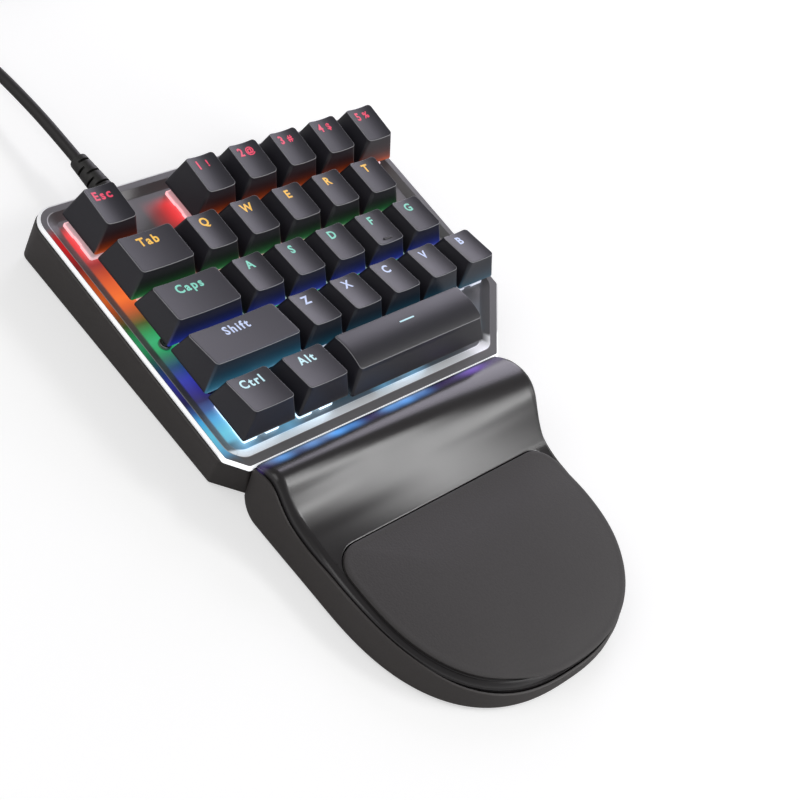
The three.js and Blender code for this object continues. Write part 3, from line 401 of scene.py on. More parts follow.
def rounded_rectangle(half_x, half_y, radius, arc_steps, side_steps):
    """Rectangles with round corners, counter-clockwise from the right: four arcs joined by straight runs. The
    sizes are columns, one row to each rectangle."""
    half_x, half_y, radius = (np.reshape(size, (-1, 1, 1)) for size in (half_x, half_y, radius))
    sign_x = np.array([1, -1, -1, 1])[None, :, None]
    sign_y = np.array([1, 1, -1, -1])[None, :, None]
    turn = np.linspace(0, np.pi / 2, arc_steps)[None, None, :] + np.arange(4)[None, :, None] * np.pi / 2
    arc_x = sign_x * (half_x - radius) + radius * np.cos(turn)
    arc_y = sign_y * (half_y - radius) + radius * np.sin(turn)
    share = np.linspace(0, 1, side_steps + 2)[1:-1]
    run_x = arc_x[:, :, -1:] + (np.roll(arc_x[:, :, :1], -1, axis=1) - arc_x[:, :, -1:]) * share
    run_y = arc_y[:, :, -1:] + (np.roll(arc_y[:, :, :1], -1, axis=1) - arc_y[:, :, -1:]) * share
    x = np.concatenate([arc_x, run_x], axis=2)
    y = np.concatenate([arc_y, run_y], axis=2)
    return np.stack([x, y], axis=-1).reshape(len(half_x), -1, 2)


strap_profile = np.array([
    [-0.5, 0.1], [-0.46, 0.0], [0.46, 0.0], [0.5, 0.1], [0.5, 0.9], [0.46, 1.0], [-0.46, 1.0], [-0.5, 0.9],
])
strap_offsets = strap_profile[:, 1] * tie_thickness
strap_loop = rounded_rectangle(
    bundle_span + strap_offsets, bundle_rise + strap_offsets, 2.0 + strap_offsets, 8, 6,
)
strap_turn = -math.pi / 4
strap_out = coil_mean_radius + strap_loop[:, :, 0]
strap_along = np.repeat(strap_profile[:, :1] * tie_width, strap_loop.shape[1], axis=1)
strap_rings = np.stack([
    coil_centre[0] + strap_out * math.cos(strap_turn) - strap_along * math.sin(strap_turn),
    coil_centre[1] + strap_out * math.sin(strap_turn) + strap_along * math.cos(strap_turn),
    bundle_middle + strap_loop[:, :, 1],
], axis=-1)
tie_rubber = finish_of("tie_rubber", (0.02, 0.02, 0.02), 0.5, 0.6, 0.02, 0.3)
coil_strap = piece("coil_strap", [band(at_table(strap_rings))], tie_rubber)
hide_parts("cord_tie")

# Case: a tray moulded in charcoal plastic. Its brim follows the metal plate and stands out past it at the
# left, and its sides lean in towards the table, where its edge is rounded.
typing_angle = math.radians(1.85)
number_row_height = 23.88
plate_left = 6.8
plate_right = 141.5
plate_rear = 15.1
plate_front = 92.75
plate_left_corner = 6.15
plate_right_corner = 24.4
plate_floor = -5.0
plate_thickness = 1.5
flange_top = plate_floor + 1.7
edge_chamfer = 0.85
lip_foot = flange_top - edge_chamfer - 0.4
case_inset = 0.2
case_ledge = 0.95
case_draft = 4.65
case_wall = 1.6
case_floor = 2.0
foot_height = 0.8


def on_deck(points):
    """Places in metres from millimetres in the plane of the keys, which the typing angle tilts."""
    x, y, z = np.moveaxis(np.asarray(points, float), -1, 0)
    along = y * math.cos(typing_angle) - z * math.sin(typing_angle)
    up = y * math.sin(typing_angle) + z * math.cos(typing_angle) + number_row_height
    return at_table(np.stack([x, along, up], axis=-1))


def rounded_corners(corners, radii, steps, run_steps):
    """A convex outline, counter-clockwise: arcs that touch both sides of each corner, and straight runs of
    points between them."""
    corners, radii = np.asarray(corners, float), np.asarray(radii, float)[:, None]
    before = np.roll(corners, 1, axis=0) - corners
    after = np.roll(corners, -1, axis=0) - corners
    before /= np.linalg.norm(before, axis=1, keepdims=True)
    after /= np.linalg.norm(after, axis=1, keepdims=True)
    half = np.arccos(np.clip((before * after).sum(axis=1, keepdims=True), -1, 1)) / 2
    bisector = before + after
    bisector /= np.linalg.norm(bisector, axis=1, keepdims=True)
    centre = corners + bisector * radii / np.sin(half)
    start = corners + before * radii / np.tan(half) - centre
    turn = (np.pi - 2 * half) * np.linspace(0, 1, steps)
    x = start[:, :1] * np.cos(turn) - start[:, 1:] * np.sin(turn)
    y = start[:, :1] * np.sin(turn) + start[:, 1:] * np.cos(turn)
    arcs = np.stack([x, y], axis=-1) + centre[:, None]
    share = np.linspace(0, 1, run_steps + 2)[1:-1, None]
    runs = arcs[:, -1:] + (np.roll(arcs[:, :1], -1, axis=0) - arcs[:, -1:]) * share
    return np.concatenate([arcs, runs], axis=1).reshape(-1, 2)


def plate_outline(
    inset, ledge=0.0, draft=0.0, rear_radius=8.0, front_radius=1.4, left_more=0.0, front_more=0.0,
):
    """The plate's outline: round corners at the rear and cut corners in front. Each side is a line drawn in
    by the inset, and the left and front ones by as much more as is given."""
    left = -plate_left - ledge + inset + draft + left_more
    right = plate_right - inset - draft
    rear = plate_rear - inset
    front = -plate_front + inset + front_more
    slant = math.sqrt(2)
    left_cut = plate_left_corner - plate_left - plate_front
    left_cut += (inset + draft + (left_more + front_more) / 2) * slant
    right_cut = plate_right + plate_front - plate_right_corner - (inset + draft + front_more / 2) * slant
    corners = [
        [left, rear], [left, left_cut - left], [left_cut - front, front],
        [right_cut + front, front], [right, right - right_cut], [right, rear],
    ]
    radii = [rear_radius] + [front_radius] * 4 + [rear_radius]
    return rounded_corners(corners, radii, 12, 44)


def case_ring(inset, share, lift=0.0):
    """The case's outline at a share of its height, on straight lines from the drawn-in foot to the brim."""
    foot = plate_outline(case_inset + inset, case_ledge, case_draft, 3.0)
    brim = plate_outline(case_inset + inset, case_ledge, 0.0, 8.0 - inset)
    low = at_table(np.column_stack([foot, np.full(len(foot), foot_height)]))
    high = on_deck(np.column_stack([brim, np.full(len(brim), lip_foot - seat_gap)]))
    ring = low + (high - low) * share
    ring[:, 2] += lift * millimetre
    return ring


case_edge = 1.0
edge_turn = np.linspace(0, np.pi / 2, 6)
case_rings = [case_ring(case_edge + 4, 0), case_ring(case_edge + 0.5, 0)]
case_rings += [
    case_ring(case_edge * (1 - math.sin(turn)), 0, case_edge * (1 - math.cos(turn))) for turn in edge_turn
]
case_rings += [case_ring(0, share) for share in (0.2, 0.4, 0.6, 0.8, 0.97)]
case_rings += [case_ring(0.12, 0.99), case_ring(0.35, 1.0), case_ring(case_wall, 1.0)]
case_rings += [case_ring(case_wall, share) for share in (0.9, 0.5)]
case_rings += [case_ring(case_wall, 0, case_floor), case_ring(case_wall + 4, 0, case_floor)]
case_plastic = finish_of("case_plastic", (0.036, 0.031, 0.03), 0.5, 0.45, 0.02, 0.35)
case_tray = piece("case_tray", [skin(case_rings)], case_plastic, sharp_angle=25)
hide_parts("bottom_case")

# Feet: six rubber discs with a rounded edge and a shallow dish, let into the undersides of the case and the
# rest.
foot_radius = 5.0
foot_top = 1.4
key_pitch = 19.05
rest_centre = 57.3
rest_length = 101.2
rest_straight = 42.5
rest_rear = -92.55 * math.cos(typing_angle) - (lip_foot - seat_gap) * math.sin(typing_angle) - 0.4
foot_shares = {
    "rear_left": (0.5, -0.25), "rear_right": (6.4, -0.25), "front_left": (0.5, -4), "front_right": (5.4, -4),
}
foot_places = {name: (x * key_pitch, y * key_pitch) for name, (x, y) in foot_shares.items()}
foot_places["rest_left"] = (rest_centre - 32.0, rest_rear - (rest_length + rest_straight) / 2)
foot_places["rest_right"] = (rest_centre + 32.0, rest_rear - (rest_length + rest_straight) / 2)


def turned(profile, x, y, steps=48):
    """A lathe form on an upright axis: each radius and height of the profile makes a ring."""
    profile = np.asarray(profile, float)
    angle = np.linspace(0, 2 * np.pi, steps, endpoint=False)
    return np.stack([
        x + np.outer(profile[:, 0], np.cos(angle)),
        y + np.outer(profile[:, 0], np.sin(angle)),
        np.repeat(profile[:, 1:], steps, axis=1),
    ], axis=-1)


foot_profile = [
    [1.0, 0.12], [foot_radius - 1.2, 0.12], [foot_radius - 1.0, 0.0], [foot_radius - 0.35, 0.0],
    [foot_radius - 0.1, 0.1], [foot_radius, 0.35], [foot_radius, foot_top], [1.0, foot_top],
]
foot_rubber = finish_of("foot_rubber", (0.02, 0.019, 0.018), 0.75, 0.5, 0.02, 0.4)
for foot_name, (foot_x, foot_y) in foot_places.items():
    foot_skin = skin(at_table(turned(foot_profile, foot_x, foot_y)))
    foot = piece(f"rubber_foot_{foot_name}", [foot_skin], foot_rubber)
    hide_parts(f"foot_{foot_name}")

# Circuit board and stabilisers: a green board under the plate, and black housings with bent steel wires under
# the two wide keys.
board_green = finish_of("board_green", (0.01, 0.06, 0.025), 0.35, 2.0, 0.03, 0.5, 0.2)
stabiliser_plastic = finish_of("stabiliser_plastic", (0.025, 0.025, 0.027), 0.4, 0.4, 0.01)
wire_steel = finish_of("wire_steel", (0.5, 0.5, 0.52), 0.25, 0.2, 0.002, 0.1, Metallic=1.0)
dress_node("circuit_board", board_green)
for wide_key in ("shift", "space"):
    dress_node(f"stabiliser_{wide_key}_left", stabiliser_plastic)
    dress_node(f"stabiliser_{wide_key}_right", stabiliser_plastic)
    dress_node(f"stabiliser_{wide_key}_wire", wire_steel)

# Row lights: the colour of the lamps under the keys at a place. It runs from red at the rear row over orange,
# green and blue to a pale cyan at the front row. Each stop is a place on the key rows and a colour. The
# lamps' light is painted as a glow on the switches, the plate and the caps.
light_stops = [
    (9.5, (0.45, 0.003, 0.004)), (-2.5, (0.48, 0.003, 0.004)), (-9.5, (0.17, 0.004, 0.002)),
    (-16.5, (0.41, 0.05, 0.003)), (-23.5, (0.55, 0.09, 0.003)), (-27.0, (0.39, 0.055, 0.003)),
    (-30.5, (0.18, 0.045, 0.003)), (-34.0, (0.03, 0.055, 0.005)), (-37.5, (0.008, 0.17, 0.045)),
    (-41.0, (0.013, 0.24, 0.09)), (-44.5, (0.006, 0.2, 0.065)), (-48.0, (0.008, 0.087, 0.055)),
    (-51.5, (0.002, 0.03, 0.08)), (-57.0, (0.012, 0.018, 0.222)), (-62.0, (0.01, 0.007, 0.125)),
    (-65.5, (0.009, 0.006, 0.057)), (-69.0, (0.026, 0.073, 0.246)), (-72.5, (0.05, 0.34, 0.66)),
    (-78.0, (0.107, 0.51, 0.68)), (-85.7, (0.1, 0.33, 0.57)),
]
light_rear, light_front = light_stops[0][0], light_stops[-1][0]
row_lights, row_lights_in, row_lights_out = new_group(
    "row_lights", [("Ahead", "NodeSocketFloat", 0.0)], [("Colour", "NodeSocketColor")],
)


def share_between(tree, value, start, end, at_start=0.0, at_end=1.0, curve="LINEAR"):
    """How far a value has come from start to end: at_start before the one, at_end past the other."""
    return node(
        tree, "ShaderNodeMapRange",
        [
            ("Value", value), ("From Min", float(start)), ("From Max", float(end)), ("To Min", at_start),
            ("To Max", at_end),
        ],
        interpolation_type=curve,
    ).outputs[0]


def mixed(tree, share, first, second):
    """A colour at a share of the way from the first colour to the second."""
    mix = node(tree, "ShaderNodeMix", [("Factor", share), (6, first), (7, second)], data_type="RGBA")
    return mix.outputs[2]


def separate_place(tree):
    """The object place's three parts, by their letters."""
    return node(tree, "ShaderNodeSeparateXYZ", [(0, object_place(tree))]).outputs


def ramp_of(tree, share, stops):
    """A colour that runs through stops, each a place from nought to one and a colour, as a share rises."""
    ramp = node(tree, "ShaderNodeValToRGB", [("Fac", share)])
    elements = ramp.color_ramp.elements
    for place, _ in stops[1:-1]:
        elements.new(place)
    for stop, (place, _) in zip(elements, stops):
        stop.position = place
    for stop, (_, colour) in zip(elements, stops):
        stop.color = (*colour, 1)
    return ramp.outputs["Color"]


lamp_place = worked_out(
    row_lights, "SUBTRACT", separate_place(row_lights)["Y"], row_lights_in.outputs["Ahead"],
)
light_ends = [on_deck([0, y, plate_floor])[1] for y in (light_rear, light_front)]
lamp_colour = ramp_of(
    row_lights, share_between(row_lights, lamp_place, *light_ends),
    [((light_rear - y) / (light_rear - light_front), colour) for y, colour in light_stops],
)
row_lights.links.new(lamp_colour, row_lights_out.inputs["Colour"])
pale_light = (0.85, 0.93, 1.0, 1.0)


def add_light(material, mask, paleness=0.0, strength=1.0, ahead=0.0):
    """Paints the light of the row's lamps on a material: a glow in the row's colour a little ahead of each
    place, paled towards white and dimmed by a mask over the surface."""
    tree = material.node_tree
    shader = tree.nodes["Principled BSDF"]
    lights = node(tree, "ShaderNodeGroup", [("Ahead", ahead * millimetre)], node_tree=row_lights)
    paled = mixed(tree, paleness, lights.outputs["Colour"], pale_light)
    tree.links.new(vector_worked_out(tree, "MULTIPLY", paled, mask), shader.inputs["Emission Color"])
    shader.inputs["Emission Strength"].default_value = strength


def painted(material, label):
    """The value of a piece's own attribute in its material."""
    return node(material.node_tree, "ShaderNodeAttribute", attribute_name=label).outputs["Fac"]


# Keys: the middle, width and row of each, from shares of the key pitch. Each row is staggered against the
# others as on a full keyboard, and a wide key takes the place of more than one.
key_runs = [
    ("esc", 0, 0, 1), ("1 2 3 4 5", 0, 2.25, 1), ("tab", 1, 0, 1.5), ("q w e r t", 1, 1.5, 1),
    ("caps", 2, 0, 1.75), ("a s d f g", 2, 1.75, 1), ("shift", 3, 0, 2.25), ("z x c v b", 3, 2.25, 1),
    ("ctrl alt", 4, 0, 1.25), ("space", 4, 2.5, 3.5),
]
keys = {}
for names, row, start_share, width_share in key_runs:
    for place, name in enumerate(names.split()):
        middle = (start_share + (place + 0.5) * width_share) * key_pitch
        keys[name] = (middle, -row * key_pitch, width_share * key_pitch, row)

# Switches: clear and milky housings that snap into the plate. The light of the lamps of their row, from
# below, is painted on them as a glow. Each has a flange with a notch in each side, a hood above it with a
# well for the plunger, and a body below the plate.
switch_flange = 15.4
switch_waist = 13.4
notch_edge = 2.15
notch_end = 1.8
notch_depths = (0.3, 0.8)
switch_profile = [
    # width and depth, height, share of the notches, painted light
    [switch_waist - 1.2, switch_waist - 1.2, -9.95, 0, 0.1], [switch_waist, switch_waist, -9.4, 0, 0.15],
    [switch_waist, switch_waist, -5.2, 0, 0.5], [switch_waist, switch_waist, -4.7, 0, 1.0],
    [switch_flange - 0.1, switch_flange - 0.1, -4.7, 0.9, 1.0], [switch_flange, switch_flange, -4.6, 1, 1.0],
    [switch_flange, switch_flange, -3.9, 1, 1.0], [switch_flange - 0.35, switch_flange - 0.35, -3.72, 1, 0.9],
    [14.25, 14.25, -3.7, 0.5, 0.5], [14.0, 14.0, -3.4, 0.2, 0.4], [13.6, 13.6, -2.6, 0, 0.35],
    [12.0, 12.1, -0.8, 0, 0.3], [10.4, 10.6, 1.05, 0, 0.3], [10.1, 10.3, 1.3, 0, 0.35],
    [7.1, 5.9, 1.3, 0, 0.35], [7.0, 5.8, 1.1, 0, 0.2], [7.0, 5.8, -5.1, 0, 0.1], [3.5, 2.9, -5.1, 0, 0.1],
]


def switch_rings(x, y):
    """Rings of a switch: rectangles with cut corners and, in each side, a notch with slanted ends."""
    profile = np.array(switch_profile)
    along = np.array([-0.93, -notch_edge * 2 / switch_flange, -notch_end * 2 / switch_flange])
    along = np.concatenate([along, -along[::-1]])
    inward = np.array([0, 0, 1, 1, 0, 0])
    half_x, half_y, height, notch = profile[:, 0:1] / 2, profile[:, 1:2] / 2, profile[:, 2], profile[:, 3:4]
    side_x = half_x - inward * notch * notch_depths[0]
    side_y = half_y - inward * notch * notch_depths[1]
    run_x, run_y = half_x * along, half_y * along
    ring_x = np.concatenate([side_x, -run_x, -side_x, run_x], axis=1)
    ring_y = np.concatenate([run_y, side_y, -run_y, -side_y], axis=1)
    return np.stack([x + ring_x, y + ring_y, np.repeat(height[:, None], ring_x.shape[1], axis=1)], axis=-1)


switch_clear = finish_of("switch_clear", (0.3, 0.29, 0.3), 0.25, 0.8, 0.01, 0.2)
# Painted light: the clear housings glow in their row's colour, as strong as the lit attribute and as pale as
# the pale attribute.
add_light(switch_clear, painted(switch_clear, "lit"), painted(switch_clear, "pale"), 2.8)
switch_rows = ("number", "upper", "home", "lower", "bottom")
switch_paleness = (0.33, 0.4, 0.42, 0.42, 0.6)
for row, row_name in enumerate(switch_rows):
    housings, lit, pale = [], [], []
    for number, (x, y, width, key_row) in enumerate(keys.values()):
        if key_row == row:
            points, faces = skin(switch_rings(x, y))
            light = np.repeat([line[4] for line in switch_profile], 24)
            light = np.concatenate([light, [0.1, 0.1]]) * (0.85 + 0.15 * math.sin(5.1 * number))
            housings.append((on_deck(points), faces))
            lit.append(light * (0.8 + 0.2 * np.sin(points[:, 0] * 1.7 + number)))
            pale.append(switch_paleness[row] * (0.85 + 0.15 * np.cos(points[:, 0] * 2.3)))
    switch_row = piece(
        f"switches_{row_name}", housings, switch_clear, sharp_angle=20,
        attributes={"lit": np.concatenate(lit), "pale": np.concatenate(pale)},
    )
    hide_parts(f"switch_row_{row_name}")

# Metal plate: a pressed tray in gunmetal grey. Its border is one band: a bright cut chamfer outside, a flat
# flange, and a slope down to the floor round the switches. The floor is a sheet with a square hole for each
# switch. Light is painted on it: the glow of the row lamps on the floor and on the left flange, which is
# painted darker there as shade, a painted highlight on the front slope and on the inner line of the left
# flange, and a painted gleam on the chamfer and the front slope.
flange_width = 2.25
flange_slope = 2.7
flange_edge = edge_chamfer + flange_width
floor_inset = flange_edge + flange_slope
plug_inset = case_inset + case_wall + 3 * seat_gap
slope_draws = (1.1, 1.4)
flange_draw = 0.9
flange_share = 0.6
# Painted highlights on the front slope and on the inner line of the left flange, and painted gleams on the
# chamfer and the front slope.
slope_painted_highlight = 0.9
line_painted_highlight = 0.5
chamfer_painted_gleams = (0.25, 0.6)
slope_painted_gleam = 0.22
border_rows = [
    # inset, height, radius of the front corners, polish of the chamfer, painted highlight at the left,
    # painted highlight of the front, painted glow and shade of the left flange, floor, share of the draw
    [0.0, lip_foot, 1.4, 1, 0, 0, 0, 0, 0], [0.0, flange_top - edge_chamfer, 1.4, 1, 0, 0, 0, 0, 0],
    [0.06, flange_top - edge_chamfer + 0.1, 1.4, 1, 0, 0, 0, 0, 0],
    [edge_chamfer - 0.06, flange_top - 0.03, 1.3, 1, 0, 0, 0, 0, 0],
    [edge_chamfer, flange_top, 1.3, 0.6, 0, 0, 0, 0, 0],
    [edge_chamfer + 0.05, flange_top, 1.3, 0, 0, 0, 0.6, 0, 0],
    [edge_chamfer + 0.5, flange_top, 2.0, 0, 0, 0, 1, 0, 0],
    [flange_edge - 0.3, flange_top, 5.0, 0, 0, 0, 1, 0, flange_share],
    [flange_edge - 0.16, flange_top, 5.6, 0, line_painted_highlight, 0.2, 0.2, 0, flange_share],
    [flange_edge, flange_top - 0.03, 6.0, 0, line_painted_highlight, slope_painted_highlight, 0, 0, flange_share],
    [flange_edge + 0.12, flange_top - 0.12, 6.2, 0, 0, slope_painted_highlight, 0, 0, 0.65],
    [floor_inset - 0.7, plate_floor + 0.44, 7.0, 0, 0, slope_painted_highlight, 0, 0.1, 0.9],
    [floor_inset - 0.25, plate_floor + 0.12, 7.0, 0, 0, slope_painted_highlight, 0, 0.6, 1],
    [floor_inset + 0.1, plate_floor, 7.0, 0, 0, 0, 0, 1, 1],
    [floor_inset + 0.1, plate_floor - plate_thickness, 7.0, 0, 0, 0, 0, 0, 1],
    [plug_inset, plate_floor - plate_thickness, 2.0, 0, 0, 0, 0, 0, 0],
    [plug_inset, lip_foot, 2.0, 0, 0, 0, 0, 0, 0],
]
border_rings, border_paint = [], {"polish_and_painted_highlight": [], "glow": [], "floor": [], "painted_gleam": []}
for inset, height, corner_radius, polish_and_painted_highlight, left_painted_highlight, front_painted_highlight, glow, floor_share, draw in border_rows:
    past_flange = max(draw - flange_share, 0) / (1 - flange_share)
    front_draw = min(draw / flange_share, 1) * flange_draw + past_flange * (slope_draws[1] - flange_draw)
    left_draw = past_flange * slope_draws[0]
    outline = plate_outline(inset, 0, 0, 8.0 - min(inset, 6.5), corner_radius, left_draw, front_draw)
    at_left = smooth_step(-outline[:, 0], -1.5, -0.5)
    at_front = smooth_step(-outline[:, 1], plate_front - 8.5, plate_front - 7.5)
    before_rear = smooth_step(-outline[:, 1], -7.0, -2.0)
    before_corner = smooth_step(outline[:, 1] + plate_front, 4.5, 9.0)
    border_rings.append(on_deck(np.column_stack([outline, np.full(len(outline), height)])))
    side_painted_highlight = left_painted_highlight * at_left * (1 - at_front) + front_painted_highlight * at_front
    border_paint["polish_and_painted_highlight"].append(np.maximum(polish_and_painted_highlight, side_painted_highlight))
    border_paint["glow"].append(glow * at_left * before_rear * before_corner)
    border_paint["floor"].append(floor_share * before_rear)
    edge_painted_gleam = (chamfer_painted_gleams[0] * at_left + chamfer_painted_gleams[1] * at_front) * polish_and_painted_highlight
    border_paint["painted_gleam"].append(np.maximum(edge_painted_gleam, slope_painted_gleam * at_front * front_painted_highlight / slope_painted_highlight))

switch_hole = 14.0
screw_hole_radius = 1.5
stabiliser_slot = (7.0, 12.1)
slot_drop = 1.35
hole_round = 0.5
stabiliser_reaches = {"shift": 11.9, "space": 19.05}
screw_shares = [(0.22, -2.29), (1.2825, -1), (3.64, -4)]
holes = [
    rounded_rectangle(switch_hole / 2, switch_hole / 2, hole_round, 4, 0)[0] + [x, y]
    for x, y, width, row in keys.values()
]
for name, reach in stabiliser_reaches.items():
    x, y = keys[name][:2]
    slot = rounded_rectangle(stabiliser_slot[0] / 2, stabiliser_slot[1] / 2, hole_round, 4, 0)[0]
    holes += [slot + [x + side * reach, y - slot_drop] for side in (-1, 1)]
hole_angle = np.linspace(0, 2 * np.pi, 24, endpoint=False)
for x_share, y_share in screw_shares:
    ring = screw_hole_radius * np.column_stack([np.cos(hole_angle), np.sin(hole_angle)])
    holes.append(ring + [x_share * key_pitch, y_share * key_pitch])

sheet_curve = bpy.data.curves.new("plate_sheet", "CURVE")
sheet_curve.dimensions = "2D"
sheet_curve.fill_mode = "BOTH"
sheet_curve.extrude = plate_thickness / 2
floor_outline = plate_outline(floor_inset + 0.1, 0, 0, 1.5, 7.0, *slope_draws)
for loop in [floor_outline] + holes:
    spline = sheet_curve.splines.new("POLY")
    spline.points.add(len(loop) - 1)
    spline.points.foreach_set("co", np.column_stack([loop, np.zeros(len(loop)), np.ones(len(loop))]).ravel())
    spline.use_cyclic_u = True
sheet_source = bpy.data.objects.new("plate_sheet", sheet_curve)
bpy.context.collection.objects.link(sheet_source)
sheet_mesh = sheet_source.to_mesh()
sheet_points = np.empty(len(sheet_mesh.vertices) * 3)
sheet_mesh.vertices.foreach_get("co", sheet_points)
sheet_faces = [list(face.vertices) for face in sheet_mesh.polygons]
sheet_points = on_deck(sheet_points.reshape(-1, 3) + [0, 0, plate_floor - plate_thickness / 2])
sheet_source.to_mesh_clear()
bpy.data.objects.remove(sheet_source)

border_skin = band(border_rings)
plate_metal = finish_of("plate_metal", (0.15, 0.147, 0.15), 0.46, 0.25, 0.004, 0.15, 0.06, Metallic=0.4)
plate_tree = plate_metal.node_tree
plate_shader = plate_tree.nodes["Principled BSDF"]
plain_colour = plate_shader.inputs["Base Color"].links[0].from_socket
# Painted light on the left flange: the glow attribute paints its colour darker as shade, and below it adds
# the glow of the row lamps.
painted_flange_glow = painted(plate_metal, "glow")
painted_flange_shade = mixed(plate_tree, painted_flange_glow, plain_colour, (0.03, 0.03, 0.035, 1))
# The polish attribute lightens the chamfer to its bright cut metal, and paints a highlight on the front slope
# and on the inner line of the left flange.
polished_and_painted_highlight = mixed(plate_tree, painted(plate_metal, "polish_and_painted_highlight"), painted_flange_shade, (0.92, 0.92, 0.93, 1.0))
plate_tree.links.new(polished_and_painted_highlight, plate_shader.inputs["Base Color"])
metal_place = separate_place(plate_tree)


def lit_along(stops):
    """Painted lamp light on the floor along the rows: a ramp of stops, each a place and a share of the light.
    """
    start, end = stops[0][0], stops[-1][0]
    share = share_between(plate_tree, metal_place["X"], on_deck([start, 0, 0])[0], on_deck([end, 0, 0])[0])
    levels = [((place - start) / (end - start), (light,) * 3) for place, light in stops]
    return ramp_of(plate_tree, share, levels)


def along_depth(rear, front, at_rear=0.0):
    """A value that goes smoothly from its value at the rear place to one at the front place."""
    ends = [on_deck([0, y, plate_floor])[1] for y in (rear, front)]
    return share_between(plate_tree, metal_place["Y"], *ends, at_rear, 1.0, "SMOOTHSTEP")


# Painted light of the row lamps on the floor round the switches, in bands along the rows, and on the left
# flange.
rear_lights = lit_along([
    (-1, 0), (0.4, 1), (12, 1), (19, 0), (32, 0), (38, 0.35), (43, 1), (117, 1), (126, 0),
])
middle_lights = lit_along([(-1, 0), (0.4, 1), (112, 1), (124, 0.05), (135, 0)])
front_lights = lit_along([
    (-1, 0), (5, 0.9), (12, 0.15), (24, 0.7), (31, 0.1), (60, 0.1), (67, 0.6), (74, 0.2), (81, 0.6),
    (90, 0.05), (126, 0),
])
floor_light = mixed(plate_tree, along_depth(-8.0, -11.0), rear_lights, middle_lights)
floor_light = mixed(plate_tree, along_depth(-80.5, -82.5), floor_light, front_lights)
brighter_behind = along_depth(-64.0, -71.0, 1.65)
started = worked_out(plate_tree, "MULTIPLY", along_depth(8.0, 3.0), brighter_behind)
on_floor = worked_out(plate_tree, "MULTIPLY", started, painted(plate_metal, "floor"))
floor_mask = worked_out(plate_tree, "MULTIPLY_ADD", floor_light, on_floor, painted_flange_glow)
add_light(plate_metal, floor_mask)
row_glow = plate_shader.inputs["Emission Color"].links[0].from_socket
# Painted gleam: a pale glow on the chamfer and the front slope, added to the painted glow of the row lamps.
painted_gleam_and_lamp_glow = vector_worked_out(
    plate_tree, "MULTIPLY_ADD", painted(plate_metal, "painted_gleam"), (0.95, 0.97, 1.0), row_glow,
)
plate_tree.links.new(painted_gleam_and_lamp_glow, plate_shader.inputs["Emission Color"])
metal_plate = piece(
    "metal_plate", [border_skin, (sheet_points, sheet_faces)], plate_metal, sharp_angle=20,
    attributes={
        label: np.concatenate(values + [np.full(len(sheet_points), float(label == "floor"))])
        for label, values in border_paint.items()
    },
)
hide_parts("top_plate")

# Screws: three steel cap screws that hold the plate down between the keys.
screw_profile = [
    [0.4, -9.0], [1.0, -8.6], [1.15, -8.2], [1.15, 0.3], [2.2, 0.3], [2.2, 1.2], [2.0, 1.55], [1.3, 1.6],
    [1.0, 1.5], [0.9, 0.7], [0.3, 0.6],
]
screw_steel = finish_of("screw_steel", (0.3, 0.3, 0.31), 0.3, 0.3, 0.004, 0.2, Metallic=0.9)
for number, (x_share, y_share) in enumerate(screw_shares, 1):
    rings = turned(screw_profile, x_share * key_pitch, y_share * key_pitch, 32) + [0, 0, plate_floor]
    screw = piece(f"cap_screw_{number}", [skin(on_deck(rings))], screw_steel, sharp_angle=30)
    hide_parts(f"plate_screw_{number}")

# Keycaps: moulded in satin black plastic. A cap is a tapered shell with a softly rounded rim. Its top is
# hollowed by a shallow drum, and on the long bar it is crowned instead. A post under its ceiling enters the
# switch. A painted highlight lightens the rim, and the glow of the row lamps is painted low on the front.
cap_heights = [10.7, 9.05, 8.15, 8.27, 8.4]
cap_rises = [0.46, -0.02, -0.39, -1.02, -0.99]
cap_shifts = [0.96, 0.8, 0.73, 1.08, 1.26]
key_gap = 0.95
cap_top_depth = 13.9
cap_narrowing = 6.1
cap_wall = 1.1
cap_ceiling = 5.8
cap_rim = 0.3
scoop_depth = 0.7
wide_scoop_depth = 0.55
bar_crown = 1.1
bar_skirt = 0.4
bar_drop = 0.9
post_half, post_foot, post_top = (3.2, 2.6), -1.2, cap_ceiling + 0.4
stem_half, stem_foot = (2.4, 2.4), 2.1
blade_half, blade_foot = (1.1, 1.6), -3.4
# Painted glow of the row lamps on the caps' fronts: its share on the shift key, its middle height and reach,
# its reach at the foot, and its strength by rows.
bar_glow_share = 0.08
glow_middle = 4.3
glow_reach = 3.2
foot_glow_reach = 1.3
under_shares = [0.028, 0.03, 0.15, 0.02, 0.0]
foot_glows = [0.9, 0.9, 1.0, 0.08, 0.0]


def cap_top(name, x, y):
    """Height of a cap's top: a tilted plane less a parabola across it, or less one along the crowned bar."""
    middle_x, middle_y, width, row = keys[name]
    from_x, from_y = x - middle_x, y - middle_y - cap_shifts[row]
    if name == "space":
        return cap_heights[row] - bar_crown * (from_y / (cap_top_depth / 2)) ** 2
    half_chord = (width - key_gap - cap_narrowing) / 2
    depth = wide_scoop_depth if width > key_pitch else scoop_depth
    hollow = depth * np.clip(1 - (from_x / half_chord) ** 2, 0, 1)
    return cap_heights[row] + cap_rises[row] * from_y / (cap_top_depth / 2) - hollow


def bar_skin(x, y, half, foot, top):
    """A plain upright bar about a place, from half its width and half its depth."""
    ring = np.array([[-1, -1], [1, -1], [1, 1], [-1, 1]]) * half + [x, y]
    return skin([np.column_stack([ring, np.full(4, z)]) for z in (foot, top)])


